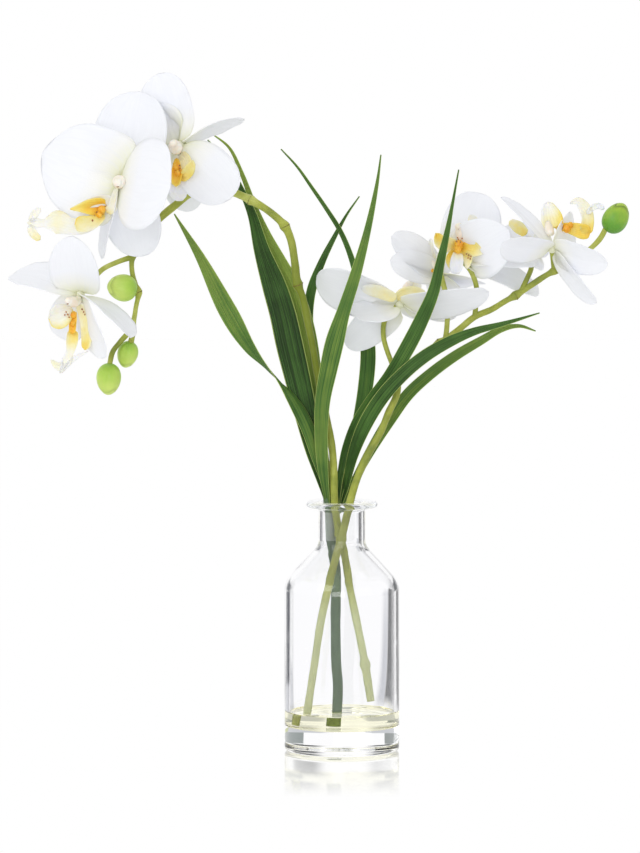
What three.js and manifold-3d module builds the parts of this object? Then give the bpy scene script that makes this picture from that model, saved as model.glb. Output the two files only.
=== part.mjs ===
// Moth orchid in a clear glass bottle vase: two arching flower sprays and a tuft of strap leaves.
// Millimetres, +Z up, the front towards -Y. The origin is the middle of the vase's flat underside.
import * as THREE from 'three';
import { mergeVertices } from 'three/addons/utils/BufferGeometryUtils.js';
import Module from 'manifold-3d';

const wasm = await Module();
wasm.setup();

// Driving dimensions of the vase
const VASE_HEIGHT = 157;
const BODY_RADIUS = 36;
const WALL = 3;
const FLOOR = 16;
const BASE_ROUND = 2.5;
const SHOULDER_START = 102.6;
const SHOULDER_ROUND = 10.8;
const CONE_TOP = 129.5;
const NECK_RADIUS = 14.6;
const NECK_HOLE = 12.6;
const RIM_RADIUS = 22.2;
const RIM_THICKNESS = 3.6;
const VASE_SIDES = 24;

// The set liquid and the gap between touching pieces
const LIQUID_TOP = 25;
const GAP = 0.3;
const HOLE_FLAT = 1.16;

// Stems, stalks and leaves
const STEM_RADIUS = 2.35;
const TIP_STEM_RADIUS = 1.9;
const STALK_RADIUS = 1.8;
const TUFT_STEM_RADIUS = 3.1;
const STEM_SIDES = 6;
const JOINT_RADIUS = 3.1;
const LEAF_THICKNESS = 0.8;
const LEAF_FOLD = 0.12;
const LEAF_STEPS = 13;

// Blooms
const BLADE_THICKNESS = 0.8;
const HUB_RADIUS = 2.8;
const CALLUS_RADIUS = 3.2;
const COLUMN_RADIUS = 2.3;
const COLUMN_LENGTH = 7;
const TEPAL_CUP = 0.15;

// Outline of a tepal: skew below 1 moves its widest place towards the hub, sweep rounds its shoulders backwards.
const SHAPES = {
  broad: { skew: 0.8, sweep: 0.35 },
  round: { skew: 0.9, sweep: 0.2 },
  oval: { skew: 1, sweep: 0.1 },
  fan: { skew: 0.75, sweep: 0.08 },
  spoon: { skew: 1.17, sweep: 0.06 },
};

// Each tepal: how far its tip lies across (+X) and up (+Z) from the hub, its real length, whether it leans
// away from the front (1) or towards it (-1), its width, how far its face turns from the front in degrees,
// how far its middle bows forward, and its outline.
const BLOOMS = {
  left_bloom_1: {
    hub: [-138, -28, 357],
    faces: [-48, -8],
    tepals: [
      { across: 13, up: 56, length: 60, lean: 1, width: 47, turn: -15, bow: -3, shape: 'oval' },
      { across: -48, up: 15, length: 54, lean: 1, width: 57, turn: 0, bow: 5, shape: 'broad' },
      { across: 34, up: 4, length: 54, lean: -1, width: 62, turn: 0, bow: 8, shape: 'broad' },
      { across: 14, up: -46, length: 50, lean: 1, width: 38, turn: 20, bow: -4, shape: 'oval' },
      { across: -11, up: -47, length: 49, lean: 1, width: 30, turn: 75, bow: 0, shape: 'oval' },
    ],
    lip: [
      { across: -55, up: -24, length: 61, lean: -1, width: 13, turn: 20, bow: 3, shape: 'oval' },
      { across: -27, up: -16, length: 36, lean: -1, width: 14, turn: -50, bow: 2, shape: 'oval' },
      { across: -24, up: -28, length: 40, lean: -1, width: 16, turn: 45, bow: 2, shape: 'oval' },
    ],
  },
  left_bloom_2: {
    hub: [-101, -8, 380],
    faces: [-30, 0],
    tepals: [
      { across: -13, up: 44, length: 47, lean: 1, width: 34, turn: -15, bow: 3, shape: 'oval' },
      { across: 35, up: -33, length: 52, lean: -1, width: 38, turn: -15, bow: 4, shape: 'oval' },
      { across: 40, up: 15, length: 46, lean: 1, width: 24, turn: 72, bow: -3, shape: 'oval' },
      { across: 4, up: -42, length: 50, lean: 1, width: 26, turn: 10, bow: 2, shape: 'oval' },
      { across: -37, up: 7, length: 48, lean: 1, width: 48, turn: 0, bow: 4, shape: 'broad' },
    ],
    lip: [
      { across: -4, up: -26, length: 40, lean: -1, width: 12, turn: 20, bow: 3, shape: 'oval' },
      { across: -6, up: -15, length: 28, lean: -1, width: 12, turn: 40, bow: 2, shape: 'oval' },
      { across: 10, up: -13, length: 26, lean: -1, width: 12, turn: -40, bow: 2, shape: 'oval' },
    ],
  },
  left_bloom_3: {
    hub: [-162, -22, 288],
    faces: [-40, -25],
    tepals: [
      { across: -4, up: 37, length: 42, lean: -1, width: 33, turn: -20, bow: 3, shape: 'round' },
      { across: -44, up: 11, length: 50, lean: 1, width: 36, turn: 62, bow: 4, shape: 'oval' },
      { across: 32, up: -25, length: 48, lean: -1, width: 34, turn: -80, bow: 3, shape: 'oval' },
      { across: 16, up: -38, length: 44, lean: -1, width: 24, turn: 55, bow: 2, shape: 'oval' },
      { across: -13, up: -29, length: 40, lean: 1, width: 26, turn: 10, bow: 2, shape: 'oval' },
    ],
    lip: [
      { across: -12, up: -48, length: 54, lean: -1, width: 12, turn: 30, bow: 3, shape: 'oval' },
      { across: -17, up: -20, length: 32, lean: -1, width: 18, turn: 20, bow: 2, shape: 'oval' },
      { across: 6, up: -33, length: 40, lean: -1, width: 14, turn: -50, bow: 2, shape: 'oval' },
    ],
  },
  right_bloom_1: {
    hub: [36, 4, 280],
    faces: [150, 50],
    tepals: [
      { across: -52, up: 14, length: 54, lean: 1, width: 31, turn: -45, bow: 3, shape: 'spoon' },
      { across: 55, up: 5, length: 58, lean: -1, width: 27, turn: 45, bow: 3, shape: 'fan' },
      { across: -32, up: -32, length: 46, lean: 1, width: 32, turn: 8, bow: 3, shape: 'fan' },
      { across: -31, up: -5, length: 35, lean: -1, width: 24, turn: 55, bow: -3, shape: 'oval' },
      { across: 35, up: -8, length: 42, lean: 1, width: 20, turn: 82, bow: 5, shape: 'oval' },
    ],
    lip: [
      { across: 12, up: 14, length: 36, lean: 1, width: 12, turn: 20, bow: 2, shape: 'oval' },
      { across: 3, up: 13, length: 24, lean: 1, width: 12, turn: 20, bow: 2, shape: 'oval' },
      { across: 16, up: 6, length: 26, lean: 1, width: 12, turn: 20, bow: 2, shape: 'oval' },
    ],
  },
  right_bloom_2: {
    hub: [61, 16, 299],
    faces: [-60, 20],
    tepals: [
      { across: -30, up: 24, length: 42, lean: -1, width: 22, turn: 30, bow: 2, shape: 'oval' },
      { across: -31, up: 9, length: 40, lean: -1, width: 21, turn: 35, bow: 2, shape: 'oval' },
      { across: 5, up: 25, length: 40, lean: 1, width: 22, turn: 70, bow: 2, shape: 'oval' },
      { across: 24, up: -9, length: 44, lean: 1, width: 30, turn: 60, bow: 2, shape: 'oval' },
      { across: 11, up: -18, length: 38, lean: 1, width: 24, turn: 40, bow: 2, shape: 'oval' },
    ],
    lip: [
      { across: -10, up: 8, length: 26, lean: -1, width: 9, turn: 20, bow: 2, shape: 'oval' },
      { across: -6, up: 8, length: 16, lean: -1, width: 8, turn: 30, bow: 1, shape: 'oval' },
      { across: -7, up: 0, length: 16, lean: -1, width: 8, turn: 30, bow: 1, shape: 'oval' },
    ],
  },
  right_bloom_3: {
    hub: [75, 4, 309],
    faces: [0, 30],
    tepals: [
      { across: 12, up: 40, length: 48, lean: 1, width: 37, turn: 0, bow: 3, shape: 'fan' },
      { across: 28, up: 19, length: 40, lean: -1, width: 38, turn: 0, bow: 3, shape: 'round' },
      { across: 47, up: -2, length: 47.2, lean: 1, width: 28, turn: -55, bow: 3, shape: 'oval' },
      { across: 49, up: -23, length: 58, lean: 1, width: 22, turn: -50, bow: 2, shape: 'fan' },
      { across: -10, up: 15, length: 28, lean: 1, width: 20, turn: 60, bow: 2, shape: 'oval' },
    ],
    lip: [
      { across: -3, up: -11, length: 30, lean: -1, width: 12, turn: 30, bow: 3, shape: 'oval' },
      { across: -19, up: 14, length: 25, lean: -1, width: 13, turn: 20, bow: 2, shape: 'oval' },
      { across: 14, up: 7, length: 24, lean: -1, width: 15, turn: 10, bow: 2, shape: 'oval' },
    ],
  },
  right_bloom_4: {
    hub: [131, 0, 315],
    faces: [150, 30],
    tepals: [
      { across: -31, up: 32, length: 48, lean: 1, width: 15, turn: 60, bow: 2, shape: 'oval' },
      { across: -32, up: 5, length: 44, lean: -1, width: 25, turn: -45, bow: 2, shape: 'spoon' },
      { across: 33, up: -8, length: 42, lean: -1, width: 22, turn: 30, bow: 2, shape: 'fan' },
      { across: 27, up: -33, length: 44, lean: -1, width: 16, turn: 55, bow: 2, shape: 'oval' },
      { across: 15, up: 16, length: 38, lean: 1, width: 26, turn: 40, bow: 2, shape: 'oval' },
    ],
    lip: [
      { across: 33, up: 22, length: 46, lean: 1, width: 14, turn: 20, bow: 2, shape: 'oval' },
      { across: -4, up: 30, length: 36, lean: 1, width: 15, turn: 20, bow: 2, shape: 'oval' },
      { across: 27, up: 6, length: 34, lean: 1, width: 14, turn: 20, bow: 2, shape: 'oval' },
    ],
  },
  right_bloom_5: {
    hub: [119, 18, 314],
    faces: [170, 20],
    tepals: [
      { across: -11, up: 15, length: 34, lean: 1, width: 18, turn: 30, bow: 2, shape: 'oval' },
      { across: -15, up: -2, length: 34, lean: 1, width: 22, turn: 40, bow: 2, shape: 'oval' },
      { across: 0, up: -12, length: 34, lean: 1, width: 20, turn: 20, bow: 2, shape: 'oval' },
      { across: 10, up: 9, length: 34, lean: 1, width: 20, turn: 30, bow: 2, shape: 'oval' },
    ],
    lip: [],
  },
};

// Each leaf: points along its middle from tip to root, its width at each, and how far its face turns there.
const LEAVES = {
  outer_left: {
    points: [[-104, -16, 337.5], [-88, -17, 311], [-71, -17, 277.5], [-56.5, -16, 254], [-45.5, -14, 241],
      [-32.5, -11, 225], [-22, -7, 205.5], [-15, -3, 184], [-10.5, 1, 168], [-8.6, 2.5, 157], [-8, 3, 146]],
    widths: [0.8, 6, 11.5, 9, 5.5, 9.5, 9, 7.5, 5, 4, 3.5],
    turns: [20, 10, 0, 35, 70, 120, 160, 170, 180, 180, 180],
  },
  wide_left: {
    points: [[-84, 16, 382.5], [-72.5, 15, 370], [-63, 13, 352], [-56, 10, 336], [-50, 6, 314], [-42.5, 3, 292.5],
      [-37, 1, 274.5], [-32.5, -1, 254.5], [-27.5, -2, 233.5], [-22.5, -2, 211.5], [-18, 0, 189.5],
      [-12, 2.5, 168], [-9, 3.2, 157], [-8, 3.5, 146]],
    widths: [0.8, 2.5, 4, 6, 10, 15, 16.5, 17, 16, 14, 10, 6, 4.5, 3.5],
    turns: [30, 30, 20, 10, 5, 0, 0, 0, 0, 0, 0, 10, 20, 20],
  },
  inner_left: {
    points: [[-81, 22, 386], [-70.5, 21, 377.5], [-62.5, 19, 361], [-54.5, 16, 340], [-46.5, 13, 322.5],
      [-38, 11, 306.5], [-30.5, 9, 292], [-24, 8, 273.5], [-19, 7.5, 251.5], [-15.5, 7, 220], [-11, 5.5, 185],
      [-7.5, 4.5, 165], [-6, 4, 150]],
    widths: [0.8, 2, 3, 4, 5.5, 8, 10, 10, 9, 8, 6, 4, 3.5],
    turns: [30, 30, 20, 10, 10, 20, 20, 10, 0, 0, 20, 20, 20],
  },
  back_left: {
    points: [[11, 22, 347], [3, 21, 335.5], [-4.5, 20, 322], [-12.5, 18, 306], [-19, 16, 288.5], [-20.5, 14, 273],
      [-19, 13, 254], [-15, 11, 226], [-11.5, 8, 195],
      [-7.5, 5, 165], [-6, 4, 148]],
    widths: [0.8, 1.7, 3, 4.6, 6, 6.5, 6.5, 6, 5, 4, 3.5],
    turns: [30, 20, 10, 10, 10, 30, 30, 30, 30, 30, 30],
  },
  front_middle: {
    points: [[24, -12, 374], [22, -13, 358.5], [18.5, -14, 340], [14, -15, 320.5], [8, -16, 299], [1, -16, 277],
      [-4.5, -15, 258.5], [-8.5, -13, 240.5], [-12, -10, 221.5], [-13, -7.5, 202.5], [-12, -4.5, 180],
      [-9.5, 0, 161], [-8, 2.5, 147]],
    widths: [0.8, 2, 3.5, 5, 7, 8.5, 11.5, 11, 9.5, 8.5, 7, 4.5, 4],
    turns: [20, 10, 0, 0, 0, 10, 0, 0, 0, 0, 10, 30, 40],
  },
  back_middle: {
    points: [[-38, 4, 377], [-28, 8, 366], [-18.5, 12, 352.5], [-10, 16, 340], [-1, 20, 325.5], [5, 23, 311.5],
      [10, 25, 294.5], [14, 26, 272], [16.5, 25, 250], [15, 21, 228.5], [11.5, 16, 210], [5, 10.5, 185],
      [-0.5, 7.5, 163.5], [-6, 4.5, 140]],
    widths: [0.8, 1.6, 2.3, 2.8, 3.3, 3.8, 5, 8, 9.5, 9.5, 8, 6, 4, 3.5],
    turns: [20, 20, 20, 20, 20, 20, 20, 15, 0, 0, 10, 20, 20, 20],
  },
  tall_right: {
    points: [[72, -20, 365], [68, -21, 343], [65, -21, 327], [61, -21, 309], [56.5, -20, 289.5], [49, -17, 271.5],
      [40.5, -13, 254], [30.5, -8, 236.5], [18.5, -1, 220.5], [9.5, 4, 206], [2.5, 6.5, 188.5], [-1, 7, 171],
      [-3.5, 6, 151], [-6, 4.5, 138]],
    widths: [0.8, 2, 3.5, 5.5, 7.3, 9, 9.6, 9, 7.5, 7, 5.5, 4.5, 3.5, 3.5],
    turns: [10, 0, 0, 0, 0, 0, 10, 20, 20, 10, 20, 30, 30, 30],
  },
  low_right: {
    points: [[122.5, -16, 276], [111.5, -15, 272.5], [98, -14, 268.5], [82.5, -14, 264.5], [67.5, -14, 258.5],
      [52, -14, 249.5], [38, -13, 238], [25, -11, 223.5], [14.5, -5, 206], [7, 3, 186], [2, 6.5, 163.5],
      [-3, 6.5, 149.5], [-6, 5, 138]],
    widths: [0.8, 2, 3.5, 5, 7, 8, 8.5, 9, 9, 7, 4.5, 3.5, 3.5],
    turns: [40, 30, 20, 10, 0, 0, 0, 0, 0, 10, 30, 30, 30],
  },
  low_back: {
    points: [[121, 4, 263.5], [111, 5, 266.5], [100, 6, 264.5], [86.5, 7, 257], [70.5, 8, 247.5], [55, 9, 236],
      [41.5, 10, 223.5], [30, 10, 207.5], [17.5, 9.5, 187], [6.5, 8.5, 166.5], [-2.5, 6.5, 149], [-6, 5, 137]],
    widths: [0.8, 2.5, 4, 5.5, 6.5, 7, 7.5, 7.5, 6, 4.5, 3.5, 3.5],
    turns: [30, 30, 20, 10, 0, 0, 0, 0, 10, 20, 30, 30],
  },
};

// The dark stem that carries the leaves down to the vase's floor
const TUFT_STEM = [[-3.5, 4, FLOOR + 0.5], [-2.5, 4, 41], [-3.5, 4, 54], [-4, 4, 80], [-4, 4, 112], [-7, 3.6, 131.5],
  [-8, 3.2, 150], [-8.6, 3.2, 160]];

// Middle lines of the two flower stems, from the cut end to the tip, and of the stalks that leave them
const LEFT_STEM = {
  main: [[18, -3, 32], [14, -3, 57.5], [10, -3, 78], [5, -2.3, 102.5], [1, -1.6, 126], [-3.1, -0.9, 144.5],
    [-4.7, -0.6, 158.5], [-5.2, -0.5, 173.5], [-6, 0, 188.5], [-8.5, 0.5, 202.5], [-12, 1, 220.5], [-15.5, 1.5, 237.5],
    [-18, 1, 252.5], [-21, 0, 267.5], [-24.5, -1.5, 284.5], [-28, -3, 294.5], [-29.5, -5, 307.5], [-32, -6.5, 321.5],
    [-36, -7, 330], [-44.5, -6, 338], [-53, -4, 343.5], [-61, -1, 347.5], [-70, 3, 351], [-79, 6, 353],
    [-86.5, 6, 353], [-95, 4, 349], [-103.5, 1, 342.5], [-111.5, -1, 336], [-119.5, -1, 328], [-126.5, 0, 320]],
  tip: [[-126, 0, 320.5], [-130.5, 0, 311], [-131, 0, 302], [-129, 0, 293], [-127, 0, 288], [-128.5, 0, 279],
    [-130, 0, 270.5], [-132.5, 0, 264], [-138, -1, 257.5], [-143, -2, 251], [-145, -3, 243]],
  joints: [[-57, -2.5, 345.5], [-35.5, -7, 329.5], [-27.5, -3, 293], [-130.5, 0, 311], [-127, 0, 288]],
  stalks: [
    [[-76, 5.5, 352.5], [-80, 8, 362], [-88, 4, 373], [-98, -5, 379.5]],
    [[-118.5, -1, 329.5], [-122, -8, 341.5], [-127.5, -16, 350.5], [-135.5, -25, 356]],
    [[-131, 0, 310], [-140, -4, 307], [-148.5, -8, 303], [-155, -14, 296.5], [-161, -20, 289.5]],
    [[-131, 0, 268], [-130.5, 1, 263], [-132, 2, 256]],
    [[-127, 0, 288], [-129, -1, 289]],
  ],
};
const RIGHT_STEM = {
  main: [[-22.5, -2.5, FLOOR + 1], [-21.5, -3, 25.5], [-17, -5.5, 56], [-13, -7.3, 83], [-6.5, -8.6, 112],
    [-0.5, -8.5, 134], [4.5, -8.3, 155.5], [9, -8, 171], [15.5, -8, 186], [24, -7, 201], [29, -5, 213], [34, -3, 224],
    [35.5, -1, 234.5], [41, 0, 240.5], [50, 1, 248], [60, 2, 255.5], [65, 2, 258.5], [73, 3, 264.5], [83, 4, 272.5],
    [93.5, 5, 277], [101, 6, 281.5], [109, 7, 286], [119, 8, 292.5], [126.5, 8, 297.5], [133.5, 8, 301.5]],
  tip: [[133, 8, 301], [143, 8, 307], [151, 8, 311.5], [157, 8, 316.5], [161.5, 8, 321.5], [165, 8, 328]],
  joints: [[35.5, -1, 234.5], [61, 2, 256], [108.5, 7, 285.5], [133, 8, 301]],
  stalks: [
    [[34.5, -1, 233], [31.5, -2, 242.5], [28, -1, 252], [26, 0, 259.5], [26, 1, 268], [28.5, 3, 273.5], [34, 4, 278.5]],
    [[64.5, 2, 257.5], [65.5, 4, 266], [66, 8, 278.5], [64.5, 12, 288.5], [62, 15, 297]],
    [[83, 4, 271.5], [83.5, 3, 280], [84, 1, 290], [81, 1, 300], [76, 3, 307]],
    [[133, 8, 300], [132, 6, 306.5], [131.2, 1, 313.5]],
    [[111.5, 7, 287], [115, 9, 294.5], [118.5, 13, 302.5], [119, 17, 312]],
  ],
};

// Buds: middle, direction from the stalk to the tip, length and thickness
const BUDS = {
  left_bud_1: { middle: [-137, -3, 291], along: [-1, -0.25, 0.15], length: 19, thickness: 17 },
  left_bud_2: { middle: [-134, 3, 249], along: [-0.25, 0, -1], length: 17, thickness: 13 },
  left_bud_3: { middle: [-145.5, -3, 234], along: [-0.05, 0, -1], length: 20, thickness: 15.5 },
  right_bud_1: { middle: [171, 8, 334], along: [0.5, 0, 0.85], length: 20.5, thickness: 16 },
};

const finish = (colour, roughness, extra = {}) => new THREE.MeshStandardMaterial({
  color: colour,
  roughness,
  metalness: 0,
  ...extra,
});
const MATERIALS = {
  glass: finish(0xe9ecf2, 0.05, { transparent: true, opacity: 0.35 }),
  liquid: finish(0xe6ead0, 0.05, { transparent: true, opacity: 0.4 }),
  stem: finish(0x8f9a3c, 0.55),
  leaf: finish(0x3f7a35, 0.5),
  petal: finish(0xf7f7fb, 0.6),
  lip: finish(0xf2c14a, 0.6),
  bud: finish(0x86b83a, 0.5),
};

const vector = (values) => new THREE.Vector3(...values);

// A closed geometry becomes a solid that can be joined and cut
function solidOf(geometry) {
  const bare = geometry.clone();
  bare.deleteAttribute('normal');
  bare.deleteAttribute('uv');
  const merged = mergeVertices(bare, 1e-4);
  return new wasm.Manifold(new wasm.Mesh({
    numProp: 3,
    vertProperties: merged.attributes.position.array,
    triVerts: new Uint32Array(merged.index.array),
  }));
}

function geometryOf(solid) {
  const mesh = solid.getMesh();
  const geometry = new THREE.BufferGeometry();
  geometry.setAttribute('position', new THREE.BufferAttribute(new Float32Array(mesh.vertProperties), 3));
  geometry.setIndex(new THREE.BufferAttribute(new Uint32Array(mesh.triVerts), 1));
  geometry.computeVertexNormals();
  return geometry;
}

const join = (solids) => solids.reduce((whole, next) => whole.add(next));

// Keeps the largest body: drops cut scraps and fills sealed pockets
function oneBody(solid) {
  return solid.decompose().reduce((best, next) => (next.volume() > best.volume() ? next : best));
}

// A thin closed sheet from rows of { point, normal }, split alike on both of its faces
function sheet(rows, thickness) {
  const across = rows[0].length;
  const count = rows.length * across;
  const positions = [];
  for (const side of [1, -1]) {
    for (const row of rows) {
      for (const { point, normal } of row) {
        positions.push(...point.clone().addScaledVector(normal, side * thickness / 2).toArray());
      }
    }
  }
  const index = [];
  const quad = (a, b, c, d) => index.push(a, b, c, a, c, d);
  for (let i = 0; i < rows.length - 1; i++) {
    for (let j = 0; j < across - 1; j++) {
      const a = i * across + j;
      quad(a, a + across, a + across + 1, a + 1);
      index.push(a + count, a + count + across + 1, a + count + across, a + count, a + count + 1, a + count + across + 1);
    }
  }
  for (let i = 0; i < rows.length - 1; i++) {
    const left = i * across;
    const right = left + across - 1;
    quad(left, left + count, left + count + across, left + across);
    quad(right, right + across, right + count + across, right + count);
  }
  const last = (rows.length - 1) * across;
  for (let j = 0; j < across - 1; j++) {
    quad(j, j + 1, j + 1 + count, j + count);
    quad(last + j, last + j + count, last + j + count + 1, last + j + 1);
  }
  const geometry = new THREE.BufferGeometry();
  geometry.setAttribute('position', new THREE.Float32BufferAttribute(positions, 3));
  geometry.setIndex(index);
  return solidOf(geometry);
}

const TEPAL_STEPS = 5;
const TEPAL_ACROSS = 3;
const CLAW = 0.12;
const CLAW_START = 1.6;
const TIP_HALF_WIDTH = 0.5;
const FULLNESS = 2.3;

// A tepal is a sheet from its root to its tip. Margin makes it larger all round, to cut a clearance for it.
function tepal(root, hub, shape, margin = 0, steps = TEPAL_STEPS, columns = TEPAL_ACROSS) {
  const { across, up, length, lean, width, turn, bow } = shape;
  const { skew, sweep } = SHAPES[shape.shape];
  const depth = lean * Math.sqrt(Math.max(length ** 2 - across ** 2 - up ** 2, 0));
  const along = hub.clone().add(vector([across, depth, up])).sub(root);
  const reach = along.length() + 2 * margin - CLAW_START;
  along.normalize();
  const side = new THREE.Vector3(0, -1, 0).cross(along).normalize();
  side.applyAxisAngle(along, THREE.MathUtils.degToRad(turn));
  const facing = along.clone().cross(side);
  const rows = [];
  for (let i = 0; i <= steps; i++) {
    const t = 1 - (1 - i / steps) ** 1.3;
    const full = (1 - Math.abs(2 * t ** skew - 1) ** FULLNESS) ** (1 / FULLNESS);
    const half = Math.max(width / 2 * Math.max(full || 0, CLAW * (1 - t)), TIP_HALF_WIDTH) + margin;
    const middle = root.clone().addScaledVector(along, CLAW_START + reach * t - margin)
      .addScaledVector(facing, bow * 4 * t * (1 - t));
    const row = [];
    for (let j = 0; j <= columns; j++) {
      const s = 2 * j / columns - 1;
      const point = middle.clone().addScaledVector(side, half * s)
        .addScaledVector(facing, TEPAL_CUP * half * s * s)
        .addScaledVector(along, -sweep * half * s * s);
      const normal = facing.clone().addScaledVector(side, -2 * TEPAL_CUP * s).normalize();
      row.push({ point, normal });
    }
    rows.push(row);
  }
  return sheet(rows, BLADE_THICKNESS + 2 * margin);
}

function ball(centre, radius, sides = 8) {
  const geometry = new THREE.SphereGeometry(radius, sides, Math.ceil(sides / 2));
  return solidOf(geometry.translate(...centre.toArray()));
}

function bloomAxis({ faces: [azimuth, elevation] }) {
  const across = THREE.MathUtils.degToRad(azimuth);
  const up = THREE.MathUtils.degToRad(elevation);
  return vector([Math.sin(across) * Math.cos(up), -Math.cos(across) * Math.cos(up), Math.sin(up)]);
}

// The white part of a bloom: sepals and petals grown together at the hub
function whorl(bloom, margin = 0) {
  const hub = vector(bloom.hub);
  const parts = bloom.tepals.map((shape) => tepal(hub, hub, shape, margin));
  return oneBody(join([ball(hub, HUB_RADIUS + margin), ...parts]));
}

// The yellow part: the lip's middle lobe and side lobes, its callus and the column, seated on the hub
function lip(bloom) {
  const hub = vector(bloom.hub);
  const axis = bloomAxis(bloom);
  const callus = hub.clone().addScaledVector(axis, HUB_RADIUS + GAP + CALLUS_RADIUS);
  const lift = vector([0, 0, 1]).addScaledVector(axis, -axis.z).normalize();
  const columnWay = axis.clone().multiplyScalar(0.8).addScaledVector(lift, 0.6);
  const column = new THREE.CapsuleGeometry(COLUMN_RADIUS, COLUMN_LENGTH, 2, 6);
  column.applyQuaternion(new THREE.Quaternion().setFromUnitVectors(new THREE.Vector3(0, 1, 0), columnWay));
  column.translate(...callus.clone().addScaledVector(columnWay, COLUMN_LENGTH / 2).toArray());
  const lobes = bloom.lip.map((shape) => tepal(callus, hub, shape, 0, 4, 2));
  const whole = join([ball(callus, CALLUS_RADIUS), solidOf(column), ...lobes]);
  return oneBody(whole.subtract(whorl(bloom, GAP)));
}

// A leaf is a strap with a shallow fold along its middle
function strap({ points, widths, turns }) {
  const line = new THREE.CatmullRomCurve3(points.map(vector));
  const at = (values, t) => {
    const place = t * (values.length - 1);
    const i = Math.min(Math.floor(place), values.length - 2);
    return THREE.MathUtils.lerp(values[i], values[i + 1], place - i);
  };
  const rows = [];
  for (let i = 0; i <= LEAF_STEPS; i++) {
    const t = i / LEAF_STEPS;
    const along = line.getTangent(t);
    const side = new THREE.Vector3(0, -1, 0).cross(along).normalize();
    side.applyAxisAngle(along, THREE.MathUtils.degToRad(at(turns, t)));
    const facing = along.clone().cross(side);
    const half = Math.max(at(widths, t) / 2, TIP_HALF_WIDTH);
    rows.push([-1, 0, 1].map((s) => ({
      point: line.getPoint(t).addScaledVector(side, half * s).addScaledVector(facing, 2 * half * LEAF_FOLD * Math.abs(s)),
      normal: facing,
    })));
  }
  return sheet(rows, LEAF_THICKNESS);
}

function tube(points, radius, stepLength = 12) {
  const line = new THREE.CatmullRomCurve3(points.map(vector));
  const section = new THREE.Shape();
  for (let i = 0; i < STEM_SIDES; i++) {
    const angle = i / STEM_SIDES * 2 * Math.PI;
    section[i ? 'lineTo' : 'moveTo'](radius * Math.cos(angle), radius * Math.sin(angle));
  }
  section.closePath();
  const steps = Math.max(3, Math.round(line.getLength() / stepLength));
  return solidOf(new THREE.ExtrudeGeometry(section, { steps, extrudePath: line, bevelEnabled: false }));
}

function spray({ main, tip, joints, stalks }) {
  return join([
    tube(main, STEM_RADIUS),
    tube(tip, TIP_STEM_RADIUS, 8),
    ...joints.map((place) => ball(vector(place), JOINT_RADIUS, 6)),
    ...stalks.map((points) => tube(points, STALK_RADIUS, 8)),
  ]);
}

// A bud is an egg with a slightly drawn tip
function bud({ middle, along, length, thickness }, margin = 0) {
  const profile = [];
  for (let i = 0; i <= 8; i++) {
    const angle = i / 8 * Math.PI;
    const fatness = Math.sin(angle) * (1 + 0.12 * Math.cos(angle));
    profile.push(new THREE.Vector2((thickness / 2 + margin) * Math.max(fatness, 0), -(length / 2 + margin) * Math.cos(angle)));
  }
  profile[0].x = 0;
  profile[8].x = 0;
  const geometry = new THREE.LatheGeometry(profile, 8);
  geometry.applyQuaternion(new THREE.Quaternion().setFromUnitVectors(new THREE.Vector3(0, 1, 0), vector(along).normalize()));
  return solidOf(geometry.translate(...middle));
}

// A round body from a half outline of [radius, height] points
function turned(outline) {
  const profile = outline.map(([radius, height]) => new THREE.Vector2(radius, height));
  const geometry = new THREE.LatheGeometry(profile, VASE_SIDES);
  return solidOf(geometry.rotateX(Math.PI / 2));
}

function arc(centre, radius, from, to, count) {
  return Array.from({ length: count + 1 }, (_, i) => {
    const angle = THREE.MathUtils.degToRad(from + (to - from) * i / count);
    return [centre[0] + radius * Math.cos(angle), centre[1] + radius * Math.sin(angle)];
  });
}

function vase() {
  const rimRound = RIM_THICKNESS / 2;
  const inside = BODY_RADIUS - WALL;
  return turned([
    [0, 0],
    ...arc([BODY_RADIUS - BASE_ROUND, BASE_ROUND], BASE_ROUND, -90, 0, 3),
    ...arc([BODY_RADIUS - SHOULDER_ROUND, SHOULDER_START], SHOULDER_ROUND, 0, 43, 4),
    [NECK_RADIUS + 2.2, CONE_TOP - 1],
    [NECK_RADIUS + 0.6, CONE_TOP + 0.8],
    [NECK_RADIUS, CONE_TOP + 3],
    [NECK_RADIUS, VASE_HEIGHT - RIM_THICKNESS - 2],
    [NECK_RADIUS + 1.5, VASE_HEIGHT - RIM_THICKNESS],
    ...arc([RIM_RADIUS - rimRound, VASE_HEIGHT - rimRound], rimRound, -90, 90, 5),
    [NECK_HOLE + 1, VASE_HEIGHT],
    [NECK_HOLE, VASE_HEIGHT - 1],
    [NECK_HOLE, CONE_TOP + 1],
    [NECK_HOLE + 1.5, CONE_TOP - 2.5],
    ...arc([BODY_RADIUS - SHOULDER_ROUND, SHOULDER_START], SHOULDER_ROUND - WALL, 43, 0, 3),
    [inside, FLOOR + 2],
    [inside - 2, FLOOR],
    [0, FLOOR],
  ]);
}

function liquid(stems) {
  const radius = BODY_RADIUS - WALL - GAP;
  const body = turned([
    [0, FLOOR + GAP],
    [radius - 2, FLOOR + GAP],
    [radius, FLOOR + GAP + 2],
    [radius, LIQUID_TOP],
    [0, LIQUID_TOP],
  ]);
  return stems.reduce((rest, { points, radius }) => {
    const [end, next] = points.map(vector);
    const below = end.clone().multiplyScalar(2).sub(next);
    return rest.subtract(tube([below.toArray(), ...points.slice(0, 4)], (radius + GAP) * HOLE_FLAT));
  }, body);
}

const group = new THREE.Group();

function place(name, solid, material) {
  const mesh = new THREE.Mesh(geometryOf(solid), MATERIALS[material]);
  mesh.name = name;
  group.add(mesh);
}

const blooms = Object.entries(BLOOMS);
const buds = Object.entries(BUDS);
const seats = [
  ...blooms.map(([, bloom]) => whorl(bloom, GAP)),
  ...buds.map(([, shape]) => bud(shape, GAP)),
];
const seated = (stem) => oneBody(seats.reduce((rest, seat) => rest.subtract(seat), stem));

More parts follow.
